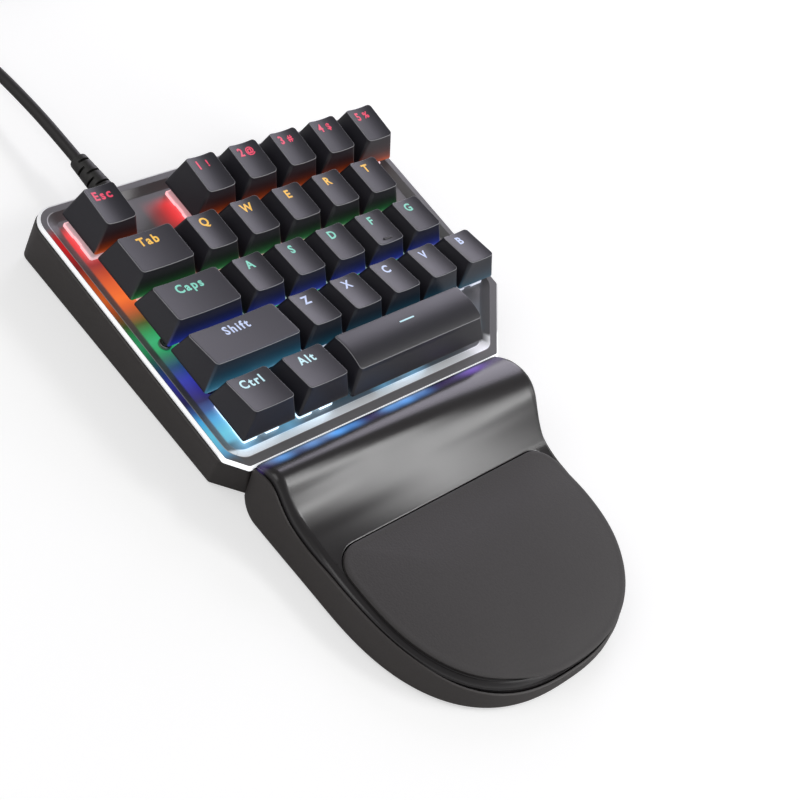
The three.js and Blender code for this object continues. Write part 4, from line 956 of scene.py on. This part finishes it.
def cap_rings(name):
    """Rings of a cap: from its ceiling down the inner wall, round the foot, up the outer wall, over the rim
    and in across the top."""
    middle_x, middle_y, width, row = keys[name]
    height, shift = cap_heights[row], cap_shifts[row]
    skirt, foot_z = (bar_skirt, -bar_drop) if name == "space" else (0.0, 0.0)
    foot_x, foot_y = (width - key_gap) / 2, (key_pitch - key_gap) / 2 + skirt
    top_x, top_y = foot_x - cap_narrowing / 2, cap_top_depth / 2
    turn = np.linspace(0, np.pi / 2, 7)
    rim_share = 1 - cap_rim / height
    wall_shares = np.array([0.0, 0.03, 0.1, 0.2, 0.4, 0.6, 0.8])
    shares = np.concatenate([wall_shares, np.full(len(turn), rim_share)])
    inset = np.concatenate([0.12 * (wall_shares == 0), cap_rim * (1 - np.cos(turn)) * 0.8])
    half_x = foot_x + (top_x - foot_x) * shares - inset
    half_y = foot_y + (top_y - foot_y) * shares - inset
    radius = 0.8 + 0.5 * shares - 0.4 * inset
    outline = rounded_rectangle(half_x, half_y, radius, 7, 12)
    centre_y = middle_y - skirt * (1 - shares) + shift * shares
    centre = np.column_stack([np.full(len(shares), middle_x), centre_y])
    outline = outline + centre[:, None]
    rim = cap_top(name, outline[len(wall_shares) :, :, 0], outline[len(wall_shares) :, :, 1])
    walls = foot_z + (rim[0] - cap_rim - foot_z) * (wall_shares / rim_share)[:, None]
    rims = rim - (cap_rim * (1 - np.sin(turn)))[:, None]
    outer = np.concatenate([outline, np.vstack([walls, rims])[:, :, None]], axis=2)
    shrink = np.array([0.965, 0.92, 0.86, 0.79, 0.71, 0.62, 0.52, 0.42, 0.32, 0.22, 0.12, 0.05])
    shrink = shrink[:, None, None]
    heart = np.array([middle_x, middle_y + shift])
    top_plan = heart + (outline[-1] - heart) * shrink
    tops = np.concatenate([top_plan, cap_top(name, top_plan[..., 0], top_plan[..., 1])[..., None]], axis=2)
    ceiling_share = cap_ceiling / height
    inner_half = []
    for foot, top in ((foot_x, top_x), (foot_y, top_y)):
        at_ceiling = foot + (top - foot) * ceiling_share - cap_wall
        inner_half.append(np.array([at_ceiling * 0.4, at_ceiling, foot - cap_wall]))
    inner = rounded_rectangle(*inner_half, np.array([0.5, 0.6, 0.6]), 7, 12)
    inner_y_places = middle_y + np.array([shift * ceiling_share, shift * ceiling_share, -skirt])
    inner = inner + np.column_stack([np.full(3, middle_x), inner_y_places])[:, None]
    inner_heights = np.array([cap_ceiling, cap_ceiling, foot_z])[:, None, None]
    inner_heights = np.repeat(inner_heights, inner.shape[1], axis=1)
    inner = np.concatenate([inner, inner_heights], axis=2)
    below_rim, above_rim = np.zeros(len(inner) + len(wall_shares)), np.zeros(len(shrink))
    # Share of the painted highlight round the rim, strongest half way round it.
    edges = np.concatenate([below_rim, np.sin(2 * turn) ** 2, above_rim])
    return np.concatenate([inner, outer, tops]), np.append(np.repeat(edges, outline.shape[1]), [0, 0])


cap_plastic = finish_of("cap_plastic", (0.016, 0.0152, 0.0205), 0.38, 0.3, 0.006, 0.3, 0.06)
cap_tree = cap_plastic.node_tree
cap_base = cap_tree.nodes["Principled BSDF"].inputs["Base Color"]
# Painted highlight: the edge attribute lightens the colour along the rim.
painted_rim_highlight = mixed(cap_tree, painted(cap_plastic, "edge"), cap_base.links[0].from_socket, (0.32, 0.32, 0.34, 1.0))
cap_tree.links.new(painted_rim_highlight, cap_base)
# Painted glow of the row lamps on the fronts of the caps, by the under attribute.
add_light(cap_plastic, painted(cap_plastic, "under"), ahead=9.0)

legend_height = 3.3
legend_rear = 3.5
legend_left = 0.5
symbol_share = 0.78
symbol_reach = 2.0
legends = {
    "esc": "Esc", "1": "1 !", "2": "2 @", "3": "3 #", "4": "4 $", "5": "5 %", "tab": "Tab", "caps": "Caps",
    "shift": "Shift", "ctrl": "Ctrl", "alt": "Alt", "space": "-",
}
legends.update({name: name.upper() for name in keys if name not in legends})
legend_colours = [
    (0.80, 0.045, 0.115), (1.0, 0.50, 0.05), (0.19, 0.61, 0.49), (0.52, 0.61, 0.91), (0.52, 0.79, 0.91),
]
legend_materials = []
for row, colour in enumerate(legend_colours):
    legend_material = finish_of(f"legend_light_{row + 1}", (0.02, 0.02, 0.02), 0.4, 0.4, 0.003)
    legend_tree = legend_material.node_tree
    patches = node(
        legend_tree, "ShaderNodeTexNoise", [("Vector", object_place(legend_tree)), ("Scale", 350.0)],
    )
    dim = (*[part * 0.75 for part in colour], 1)
    bright = (*[min(1, part * 1.2) for part in colour], 1)
    warmth = mixed(legend_tree, patches.outputs["Fac"], dim, bright)
    legend_shader = legend_tree.nodes["Principled BSDF"]
    legend_tree.links.new(warmth, legend_shader.inputs["Emission Color"])
    legend_shader.inputs["Emission Strength"].default_value = 1.0
    legend_materials.append(legend_material)


def legend_shape(words):
    """Flat letters as points and faces, one unit high, about their own middle."""
    letters = bpy.data.curves.new("letters", "FONT")
    letters.body = words
    letters.offset = 0.028
    letters.extrude = 0.02
    letters.resolution_u = 3
    letters.space_character = 1.28
    letters.space_word = 0.55
    holder = bpy.data.objects.new("letters", letters)
    bpy.context.collection.objects.link(holder)
    mesh = holder.to_mesh()
    points = np.empty(len(mesh.vertices) * 3)
    mesh.vertices.foreach_get("co", points)
    points = points.reshape(-1, 3)
    faces = [list(face.vertices) for face in mesh.polygons]
    holder.to_mesh_clear()
    bpy.data.objects.remove(holder)
    return points, faces


capital_points, _ = legend_shape("E")
capital_height = np.ptp(capital_points[:, 1])
capital_foot = capital_points[:, 1].min()

for name, (middle_x, middle_y, width, row) in keys.items():
    rings, edges = cap_rings(name)
    skins = [skin(rings), bar_skin(middle_x, middle_y, post_half, post_foot, post_top)]
    if name in stabiliser_reaches:
        for side in (-1, 1):
            stem = middle_x + side * stabiliser_reaches[name]
            skins.append(bar_skin(stem, middle_y, stem_half, stem_foot, post_top))
            skins.append(bar_skin(stem, middle_y, blade_half, blade_foot, stem_foot + 1.0))
    if name == "f":
        bar = rounded_rectangle([2.2, 2.15, 1.95], [0.45, 0.4, 0.2], [0.44, 0.39, 0.19], 5, 4)
        bar += [middle_x, middle_y + cap_shifts[row] - 4.9]
        seat = cap_top(name, middle_x, middle_y + cap_shifts[row] - 4.9)
        bar_heights = np.repeat(np.array([-0.2, 0.25, 0.45])[:, None, None], bar.shape[1], axis=1) + seat
        skins.append(skin(np.concatenate([bar, bar_heights], axis=2)))
    points = np.vstack([skin_points for skin_points, _ in skins])
    # The under attribute: the painted glow of the row lamps on the cap's front face, strongest at its foot.
    face_rise = (key_pitch - key_gap - cap_top_depth) / 2 + cap_shifts[row]
    front_face = middle_y - (key_pitch - key_gap) / 2 + face_rise * points[:, 2] / cap_heights[row]
    near_front = 1 - smooth_step(np.abs(points[:, 1] - front_face), 0.3, 0.7)
    near_front[len(edges) :] = 0
    under_share = bar_glow_share if name == "shift" else under_shares[row]
    at_foot = foot_glows[row] * np.exp(-np.abs(points[:, 2]) / foot_glow_reach)
    under = near_front * (under_share * np.exp((glow_middle - points[:, 2]) / glow_reach) + at_foot)
    cap = piece(
        f"cap_{name}", [(on_deck(skin_points), faces) for skin_points, faces in skins], cap_plastic,
        body=f"key_{name}", sharp_angle=32,
        attributes={"under": under, "edge": np.append(edges, np.zeros(len(points) - len(edges)))},
    )
    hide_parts(f"keycap_{name}")
    legend_x = middle_x - legend_left
    legend_y = middle_y + cap_shifts[row] + legend_rear
    if name == "space":
        dash = rounded_rectangle(3.5, 0.28, 0.27, 5, 8)[0] + [middle_x, middle_y + cap_shifts[row] + 2.4]
        dash_height = cap_top(name, dash[:, 0], dash[:, 1])
        letter_skins = [skin([np.column_stack([dash, dash_height + lift]) for lift in (-0.1, 0.04)])]
    else:
        words = legends[name].split()
        letter_skins = []
        for number, word in enumerate(words):
            size = legend_height / capital_height * (symbol_share if number else 1)
            aside = (number * 2 - 1) * symbol_reach if len(words) > 1 else 0
            points, faces = legend_shape(word)
            middle = (points[:, 0].min() + points[:, 0].max()) / 2
            points[:, 0] = (points[:, 0] - middle) * size + legend_x + aside
            points[:, 1] = (points[:, 1] - capital_foot - capital_height / 2) * size + legend_y
            points[:, 2] = np.where(points[:, 2] > 0, 0.04, -0.1) + cap_top(name, points[:, 0], points[:, 1])
            letter_skins.append((points, faces))
    piece(
        f"legend_{name}", [(on_deck(skin_points), faces) for skin_points, faces in letter_skins],
        legend_materials[row], body=f"key_{name}", sharp_angle=30,
    )

# Wrist rest: a tray and a shell that meet in a fine groove. Behind the pad the shell rises in a crest, longer
# at the right than at the left. Heights are shares of the crest along the rest, at its left and at its right.
crest_height = 23.3
rest_half_width = 56.7
rest_roundness = 2.5
rest_flares = (2.2, 3.9)
rest_drafts = (2.6, 4.4)
rest_flare_length = 30.0
rest_front_lean = 3.5
corner_draw = 4.4
corner_length = 10.0
rim_wall = 0.9
groove_width = 0.35
groove_depth = 1.5
edge_round = 3.0
shell_thickness = 1.8
crown_shares = np.array([
    [0, 0.815, 0.811], [0.0195, 0.884, 0.871], [0.044, 0.953, 0.931], [0.073, 0.983, 0.974],
    [0.107, 0.936, 1.0], [0.146, 0.828, 0.99], [0.19, 0.718, 0.93], [0.229, 0.656, 0.83],
    [0.275, 0.613, 0.708], [0.306, 0.586, 0.634], [0.33, 0.568, 0.583], [0.37, 0.548, 0.549],
    [0.546, 0.519, 0.519], [0.75, 0.481, 0.481], [0.897, 0.442, 0.442], [1, 0.403, 0.403],
])
rim_shares = np.array([
    [0, 0.755, 0.751], [0.0195, 0.798, 0.79], [0.044, 0.85, 0.837], [0.073, 0.871, 0.867],
    [0.107, 0.825, 0.86], [0.146, 0.72, 0.81], [0.19, 0.612, 0.735], [0.229, 0.552, 0.645],
    [0.273, 0.508, 0.545], [0.322, 0.483, 0.485], [0.37, 0.475, 0.462], [0.546, 0.464, 0.445],
    [0.75, 0.412, 0.4], [0.897, 0.33, 0.33], [1, 0.266, 0.266],
])


def smooth_table(places, values, wanted):
    """Cubic pieces through a table, with the mean slope round each entry as its slope."""
    slope = np.gradient(values, places)
    index = np.clip(np.searchsorted(places, wanted, side="right") - 1, 0, len(places) - 2)
    run = places[index + 1] - places[index]
    t = (wanted - places[index]) / run
    return (
        (2 * t**3 - 3 * t**2 + 1) * values[index] + (t**3 - 2 * t**2 + t) * run * slope[index]
        + (3 * t**2 - 2 * t**3) * values[index + 1] + (t**3 - t**2) * run * slope[index + 1]
    )


def along_rest(shares, distance, side):
    """Height at a distance from the rear, between its left value at side -1 and its right value at side 1."""
    share = np.clip(distance / rest_length, 0, 1)
    left = smooth_table(shares[:, 0], shares[:, 1], share)
    right = smooth_table(shares[:, 0], shares[:, 2], share)
    return (left + (right - left) * (side + 1) / 2) * crest_height


def side_of(x, distance):
    """Share across the crown, from -1 at its left edge to 1 at its right."""
    half = half_width(distance, crest_height / 2, x - rest_centre) - rim_wall - groove_width - edge_round
    return np.clip((x - rest_centre) / np.maximum(half, 1), -1, 1)


def rim_at(distance, side):
    """Height of the line where the shell and the tray meet."""
    return along_rest(rim_shares, distance, side)


def crown_at(distance, side):
    """Height of the shell inside its rounded shoulder."""
    return along_rest(crown_shares, distance, side)


def half_width(distance, height, side):
    """Half the width of the rest: drawn in at the rear corners low down, flared there towards the top, and
    leaning in towards the top further forward."""
    up = np.clip(height / crest_height, 0, 1)
    drawn = corner_draw * np.clip(1 - distance / corner_length, 0, None) ** 2
    near_rear = smooth_step(rest_straight - distance, 0, rest_flare_length)
    flare = np.where(side < 0, *rest_flares)
    draft = np.where(side < 0, *rest_drafts)
    return rest_half_width - drawn * (1 - up) + (-draft + (flare + draft) * near_rear) * up


side_steps = 72
front_steps = 40
rear_steps = 64
front_angle = np.linspace(0, np.pi / 2, front_steps + 1)[1:]


def rest_ring(inset, height):
    """A closed ring of the rest: down its left side, round its front as a superellipse, up its right side and
    back along its straight rear."""
    halves = []
    for side in (-1.0, 1.0):
        distance = np.linspace(0, rest_straight, side_steps)
        z = height(distance, np.full(side_steps, side))
        straight = np.column_stack([half_width(distance, z, side) - inset, distance, z])
        sideways = np.cos(front_angle).clip(0) ** (2 / rest_roundness)
        forwards = np.sin(front_angle) ** (2 / rest_roundness)
        distance = rest_straight + forwards * (rest_length - rest_straight - inset)
        z = height(distance, side * sideways)
        up = z / crest_height
        half = (half_width(rest_straight, z, side) - inset - rest_front_lean * forwards * up) * sideways
        front = np.column_stack([half, distance - rest_drafts[0] * forwards * up, z])
        run = np.vstack([straight, front])
        halves.append(np.column_stack([rest_centre + side * run[:, 0], rest_rear - run[:, 1], run[:, 2]]))
    left, right = halves[0], halves[1][-2::-1]
    share = np.linspace(0, 1, rear_steps + 2)[1:-1]
    rear_side = 1 - 2 * share
    rear_x = right[-1, 0] + (left[0, 0] - right[-1, 0]) * share
    rear = np.column_stack([rear_x, np.full(rear_steps, rest_rear), height(np.zeros(rear_steps), rear_side)])
    return np.vstack([left, right, rear])


def rim_ring(inset, drop):
    """A ring at the rim line, lowered by a drop."""
    return rest_ring(inset, lambda distance, side: rim_at(distance, side) - drop)


def wall_ring(inset, share):
    """A ring at a share of the height from the foot to the rim line."""
    return rest_ring(
        inset, lambda distance, side: foot_height + share * (rim_at(distance, side) - foot_height),
    )


def level_ring(inset, height):
    """A ring at one height all round."""
    return rest_ring(inset, lambda distance, side: np.full(np.shape(distance), float(height)))


rest_edge = 1.2
base_rings = [level_ring(20.0, foot_height), level_ring(rest_edge + 1, foot_height)]
base_rings += [
    level_ring(rest_edge * (1 - math.sin(turn)), foot_height + rest_edge * (1 - math.cos(turn)))
    for turn in edge_turn
]
base_rings += [wall_ring(0, share) for share in (0.25, 0.4, 0.55, 0.7, 0.82, 0.92)]
base_rings += [rim_ring(0, 0.3), rim_ring(0.08, 0.1), rim_ring(0.28, 0), rim_ring(rim_wall - 0.2, 0)]
base_rings += [rim_ring(rim_wall, 0.2), rim_ring(rim_wall, groove_depth), rim_ring(2.8, groove_depth)]
base_rings += [level_ring(2.8, foot_height + 2.0), level_ring(20.0, foot_height + 2.0)]
rest_plastic = finish_of("rest_plastic", (0.04, 0.035, 0.034), 0.48, 0.5, 0.015, 0.3)
rest_tray = piece("rest_tray", [skin(at_table(base_rings))], rest_plastic, sharp_angle=40)
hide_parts("wrist_rest_base")

# Shell and pad. The shell's rounded shoulder rises from the groove to a satin painted top with a recess. The
# pad is foam under soft leatherette: its edge turns down into the recess and its top is gently crowned.
pad_half_width = 51.7
pad_rear = 33.4
pad_front = 97.4
pad_straight = 45.0
pad_roundness = 2.45
pad_corner = 10.0
pad_recess = 2.6
pad_crown = 1.6
pad_round = 2.2
pad_gap = 0.35
bulge_turn = (0.6, 0.8)
pad_bulge = 2.5
pad_lift = 0.9


def pad_ring(inset, lift, shrink=1.0, bulge=0.0):
    """A closed ring of the pad's D-shaped outline at a lift over the crown, with as many points as a ring of
    the rest and in its order. It shrinks towards its middle, and the bulge pushes it out at the right and in
    front."""
    radius, half = pad_corner - inset, pad_half_width - inset
    corner_steps = side_steps * 2 // 3
    turn = np.linspace(0, np.pi / 2, corner_steps)
    corner = np.column_stack([
        half - radius + radius * np.sin(turn), pad_rear + inset + radius - radius * np.cos(turn),
    ])
    straight = np.linspace(corner[-1, 1], pad_straight, side_steps - corner_steps + 1)[1:]
    straight = np.column_stack([np.full(len(straight), half), straight])
    sideways = np.cos(front_angle).clip(0) ** (2 / pad_roundness)
    forwards = np.sin(front_angle) ** (2 / pad_roundness)
    front = np.column_stack([half * sideways, pad_straight + forwards * (pad_front - pad_straight - inset)])
    run = np.vstack([corner, straight, front])
    middle = (pad_rear + pad_front) / 2
    out, distance = run[:, 0] * shrink, middle + (run[:, 1] - middle) * shrink
    left_x, right_x = rest_centre - out, (rest_centre + out)[-2::-1]
    share = np.linspace(0, 1, rear_steps + 2)[1:-1]
    rear_x = right_x[-1] + (left_x[0] - right_x[-1]) * share
    x = np.concatenate([left_x, right_x, rear_x])
    back = np.concatenate([distance, distance[-2::-1], np.full(rear_steps, distance[0])])
    rise = crown_at(back, side_of(x, back)) + lift
    away = np.column_stack([x - rest_centre, back - middle])
    away /= np.linalg.norm(away, axis=1, keepdims=True)
    push = bulge * smooth_step(away[:, 1] * bulge_turn[1] + away[:, 0] * bulge_turn[0], 0.1, 0.75)
    return np.column_stack([x + away[:, 0] * push, rest_rear - back - away[:, 1] * push, rise])


def shell_rings(thin):
    """Rings of the shell's outside, or of its inside when thin is its thickness: from its lower edge over the
    shoulder, across the crest to the recess and down to the recess's floor."""
    outer = rim_wall + groove_width + thin
    rings = [rim_ring(outer, groove_depth - seat_gap), rim_ring(outer, 0.2 + thin)]
    for share in np.array([0.0, 0.04, 0.12, 0.24, 0.38, 0.55, 0.75, 1.0]):
        rise = math.sqrt(1 - (1 - share) ** 2)
        rings.append(rest_ring(
            outer + share * edge_round,
            lambda distance, side, rise=rise: rim_at(distance, side)
            + (crown_at(distance, side) - rim_at(distance, side)) * rise - thin,
        ))
    edge = rings[-1]
    hole = pad_ring(-thin, -thin)
    for share in np.linspace(0, 1, 58)[1:-1]:
        plan = edge[:, :2] + (hole[:, :2] - edge[:, :2]) * share
        distance = rest_rear - plan[:, 1]
        side = side_of(plan[:, 0], distance)
        rings.append(np.column_stack([plan, crown_at(distance, side) - thin]))
    drops = (0.0, 0.12, 0.4, pad_recess) if thin == 0 else (0.0, 0.2, 0.6, pad_recess)
    for drop, less in zip(drops, (0.25, 0.06, 0, 0)):
        rings.append(pad_ring(-thin - less, -drop - thin))
    rings.append(pad_ring(-thin, -pad_recess - thin, 0.5))
    return rings


shell_paint = finish_of("shell_paint", (0.022, 0.02, 0.021), 0.25, 0.35, 0.002, 0.12, 0.05)
# Painted reflections of the row lamps' glow on the crest just in front of the plate: blue ones along it, and
# a faint purple all along that is stronger at its right.
painted_reflection_places = [(9.4, 0.8), (22.3, 0.6), (33.2, 1.2), (41.0, 0.7), (58.2, 0.7), (65.8, 1.0), (74.0, 0.5)]
purple_reflection_place = 99.3
blue_reflection_reach = 4.2
purple_reflection_reach = 6
shell_skin = skin(at_table(shell_rings(shell_thickness)[::-1] + shell_rings(0)))
shell_x, shell_y = (shell_skin[0][:, :2] / millimetre - rows_from_middle[:2]).T
behind_crest = rest_rear - shell_y
near_plate = smooth_step(behind_crest, 0.3, 1.0) * (1 - smooth_step(behind_crest, 2.0, 4.6))
painted_blue_reflection = near_plate * sum(
    size * np.exp(-(((shell_x - x) / blue_reflection_reach) ** 2)) for x, size in painted_reflection_places
)
painted_purple_reflection = (0.6 * np.exp(-(((shell_x - purple_reflection_place) / purple_reflection_reach) ** 2)) + 0.12) * near_plate
rest_shell = piece(
    "rest_shell", [shell_skin], shell_paint, sharp_angle=50,
    attributes={"painted_blue_reflection": painted_blue_reflection, "painted_purple_reflection": painted_purple_reflection},
)
shell_tree = shell_paint.node_tree
painted_blue_glow = vector_worked_out(shell_tree, "MULTIPLY", (0.05, 0.25, 0.6), painted(shell_paint, "painted_blue_reflection"))
painted_reflection_glow = vector_worked_out(
    shell_tree, "MULTIPLY_ADD", (0.2, 0.1, 0.55), painted(shell_paint, "painted_purple_reflection"), painted_blue_glow,
)
shell_shader = shell_tree.nodes["Principled BSDF"]
shell_tree.links.new(painted_reflection_glow, shell_shader.inputs["Emission Color"])
shell_shader.inputs["Emission Strength"].default_value = 1.1
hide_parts("wrist_rest_shell")

pad_foot = seat_gap - pad_recess
pad_rings = [
    pad_ring(pad_gap, pad_foot, 0.6), pad_ring(pad_gap + 0.2, pad_foot), pad_ring(pad_gap, pad_foot + 0.2),
    pad_ring(pad_gap, -0.6), pad_ring(pad_gap, 0.04),
]
for turn in np.linspace(-1.0, np.pi / 2, 12):
    bulge = pad_bulge * (math.cos(turn) - 0.3) / 0.7 if turn < 0 else pad_bulge
    lift = 0.1 + pad_lift * (math.sin(turn) + 0.85) / 1.85
    pad_rings.append(pad_ring(pad_gap + pad_round * (1 - math.cos(turn)), lift, 1.0, bulge))
for shrink in (0.985, 0.96, 0.93, 0.89, 0.84, 0.78, 0.7, 0.6, 0.48, 0.35, 0.22, 0.1, 0.03):
    lift = 0.1 + pad_lift + pad_crown * (1 - ((shrink - 0.03) / 0.97) ** 2.6)
    pad_rings.append(pad_ring(pad_gap + pad_round, lift, shrink, pad_bulge * shrink))
pad_leather = finish_of(
    "pad_leatherette", (0.03, 0.0265, 0.0265), 0.6, 0.7, 0.05, 0.5, 0.1, Sheen_Weight=0.15,
)
pad_leather.node_tree.nodes["Principled BSDF"].inputs["Sheen Roughness"].default_value = 0.5
wrist_cushion = piece("wrist_cushion", [skin(at_table(pad_rings))], pad_leather, sharp_angle=60)
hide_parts("wrist_pad")

# Studio: a pale floor that keeps the shadows, and a white backdrop for the camera, while surfaces mirror a
# darker room. Soft boxes at the right lie where the cap tops and the crest mirror them. One at the left
# lights near sides.
floor_reach = 3.0
floor_glow = 0.55
floor_corners = [(x * floor_reach, y * floor_reach, 0) for x, y in ((-1, -1), (1, -1), (1, 1), (-1, 1))]
floor_mesh = bpy.data.meshes.new("studio_floor")
floor_mesh.from_pydata(floor_corners, [], [(0, 1, 2, 3)])
floor_paint = bpy.data.materials.new("studio_floor")
floor_paint.use_nodes = True
floor_tree = floor_paint.node_tree
floor_shader = floor_tree.nodes["Principled BSDF"]
floor_shader.inputs["Base Color"].default_value = (0.62, 0.62, 0.62, 1)
floor_shader.inputs["Roughness"].default_value = 1.0
floor_shader.inputs["Specular IOR Level"].default_value = 0.0
floor_shader.inputs["Emission Color"].default_value = (1, 1, 1, 1)
seen = node(floor_tree, "ShaderNodeLightPath").outputs["Is Camera Ray"]
seen_glow = worked_out(floor_tree, "MULTIPLY", seen, floor_glow)
floor_tree.links.new(seen_glow, floor_shader.inputs["Emission Strength"])
floor_mesh.materials.append(floor_paint)
floor = bpy.data.objects.new("studio_floor", floor_mesh)
bpy.context.collection.objects.link(floor)

world = bpy.data.worlds.new("studio")
bpy.context.scene.world = world
world.use_nodes = True
world_tree = world.node_tree
sky_place = node(world_tree, "ShaderNodeTexCoord").outputs["Generated"]
sky_height = node(world_tree, "ShaderNodeSeparateXYZ", [(0, sky_place)]).outputs["Z"]
room_levels = [(0.0, 1.0), (0.17, 0.8), (0.36, 0.42), (0.64, 0.25), (1.0, 0.22)]
room = ramp_of(world_tree, sky_height, [(height, (level,) * 3) for height, level in room_levels])
to_camera = node(world_tree, "ShaderNodeLightPath").outputs["Is Camera Ray"]
sky = mixed(world_tree, to_camera, room, (1, 1, 1, 1))
world_tree.links.new(sky, world_tree.nodes["Background"].inputs["Color"])

# Soft boxes: rectangular lamps that face the keypad. Each has its place and size in metres, its power and
# colour.
soft_boxes = {
    "right_box": ((0.9, 0.6, 0.5), (0.42, 0.7), 3.0, (0.98, 0.93, 1.1)),
    "crest_right_box": ((0.9, -0.34, 0.94), (0.2, 0.16), 0.9, (1, 1, 1)),
    "crest_left_box": ((0.9, -0.64, 1.03), (0.42, 0.26), 3.9, (1, 1, 1)),
    "far_box": ((0.9, -1.15, 1.12), (0.6, 0.5), 2.1, (1, 1, 1)),
    "corner_box": ((0.83, -0.82, 0.37), (0.5, 0.25), 1.8, (1, 1, 1)),
    "left_box": ((-0.8, 0.34, 0.83), (0.8, 0.8), 3.4, (1, 1, 1)),
}
box_target = Vector((0, 0, 0.02))
for name, (centre, size, power, colour) in soft_boxes.items():
    lamp = bpy.data.lights.new(name, "AREA")
    lamp.shape = "RECTANGLE"
    lamp.size, lamp.size_y = size
    lamp.energy = power
    lamp.color = colour
    holder = bpy.data.objects.new(name, lamp)
    holder.location = centre
    holder.rotation_euler = (box_target - Vector(centre)).to_track_quat("-Z", "Y").to_euler()
    bpy.context.collection.objects.link(holder)
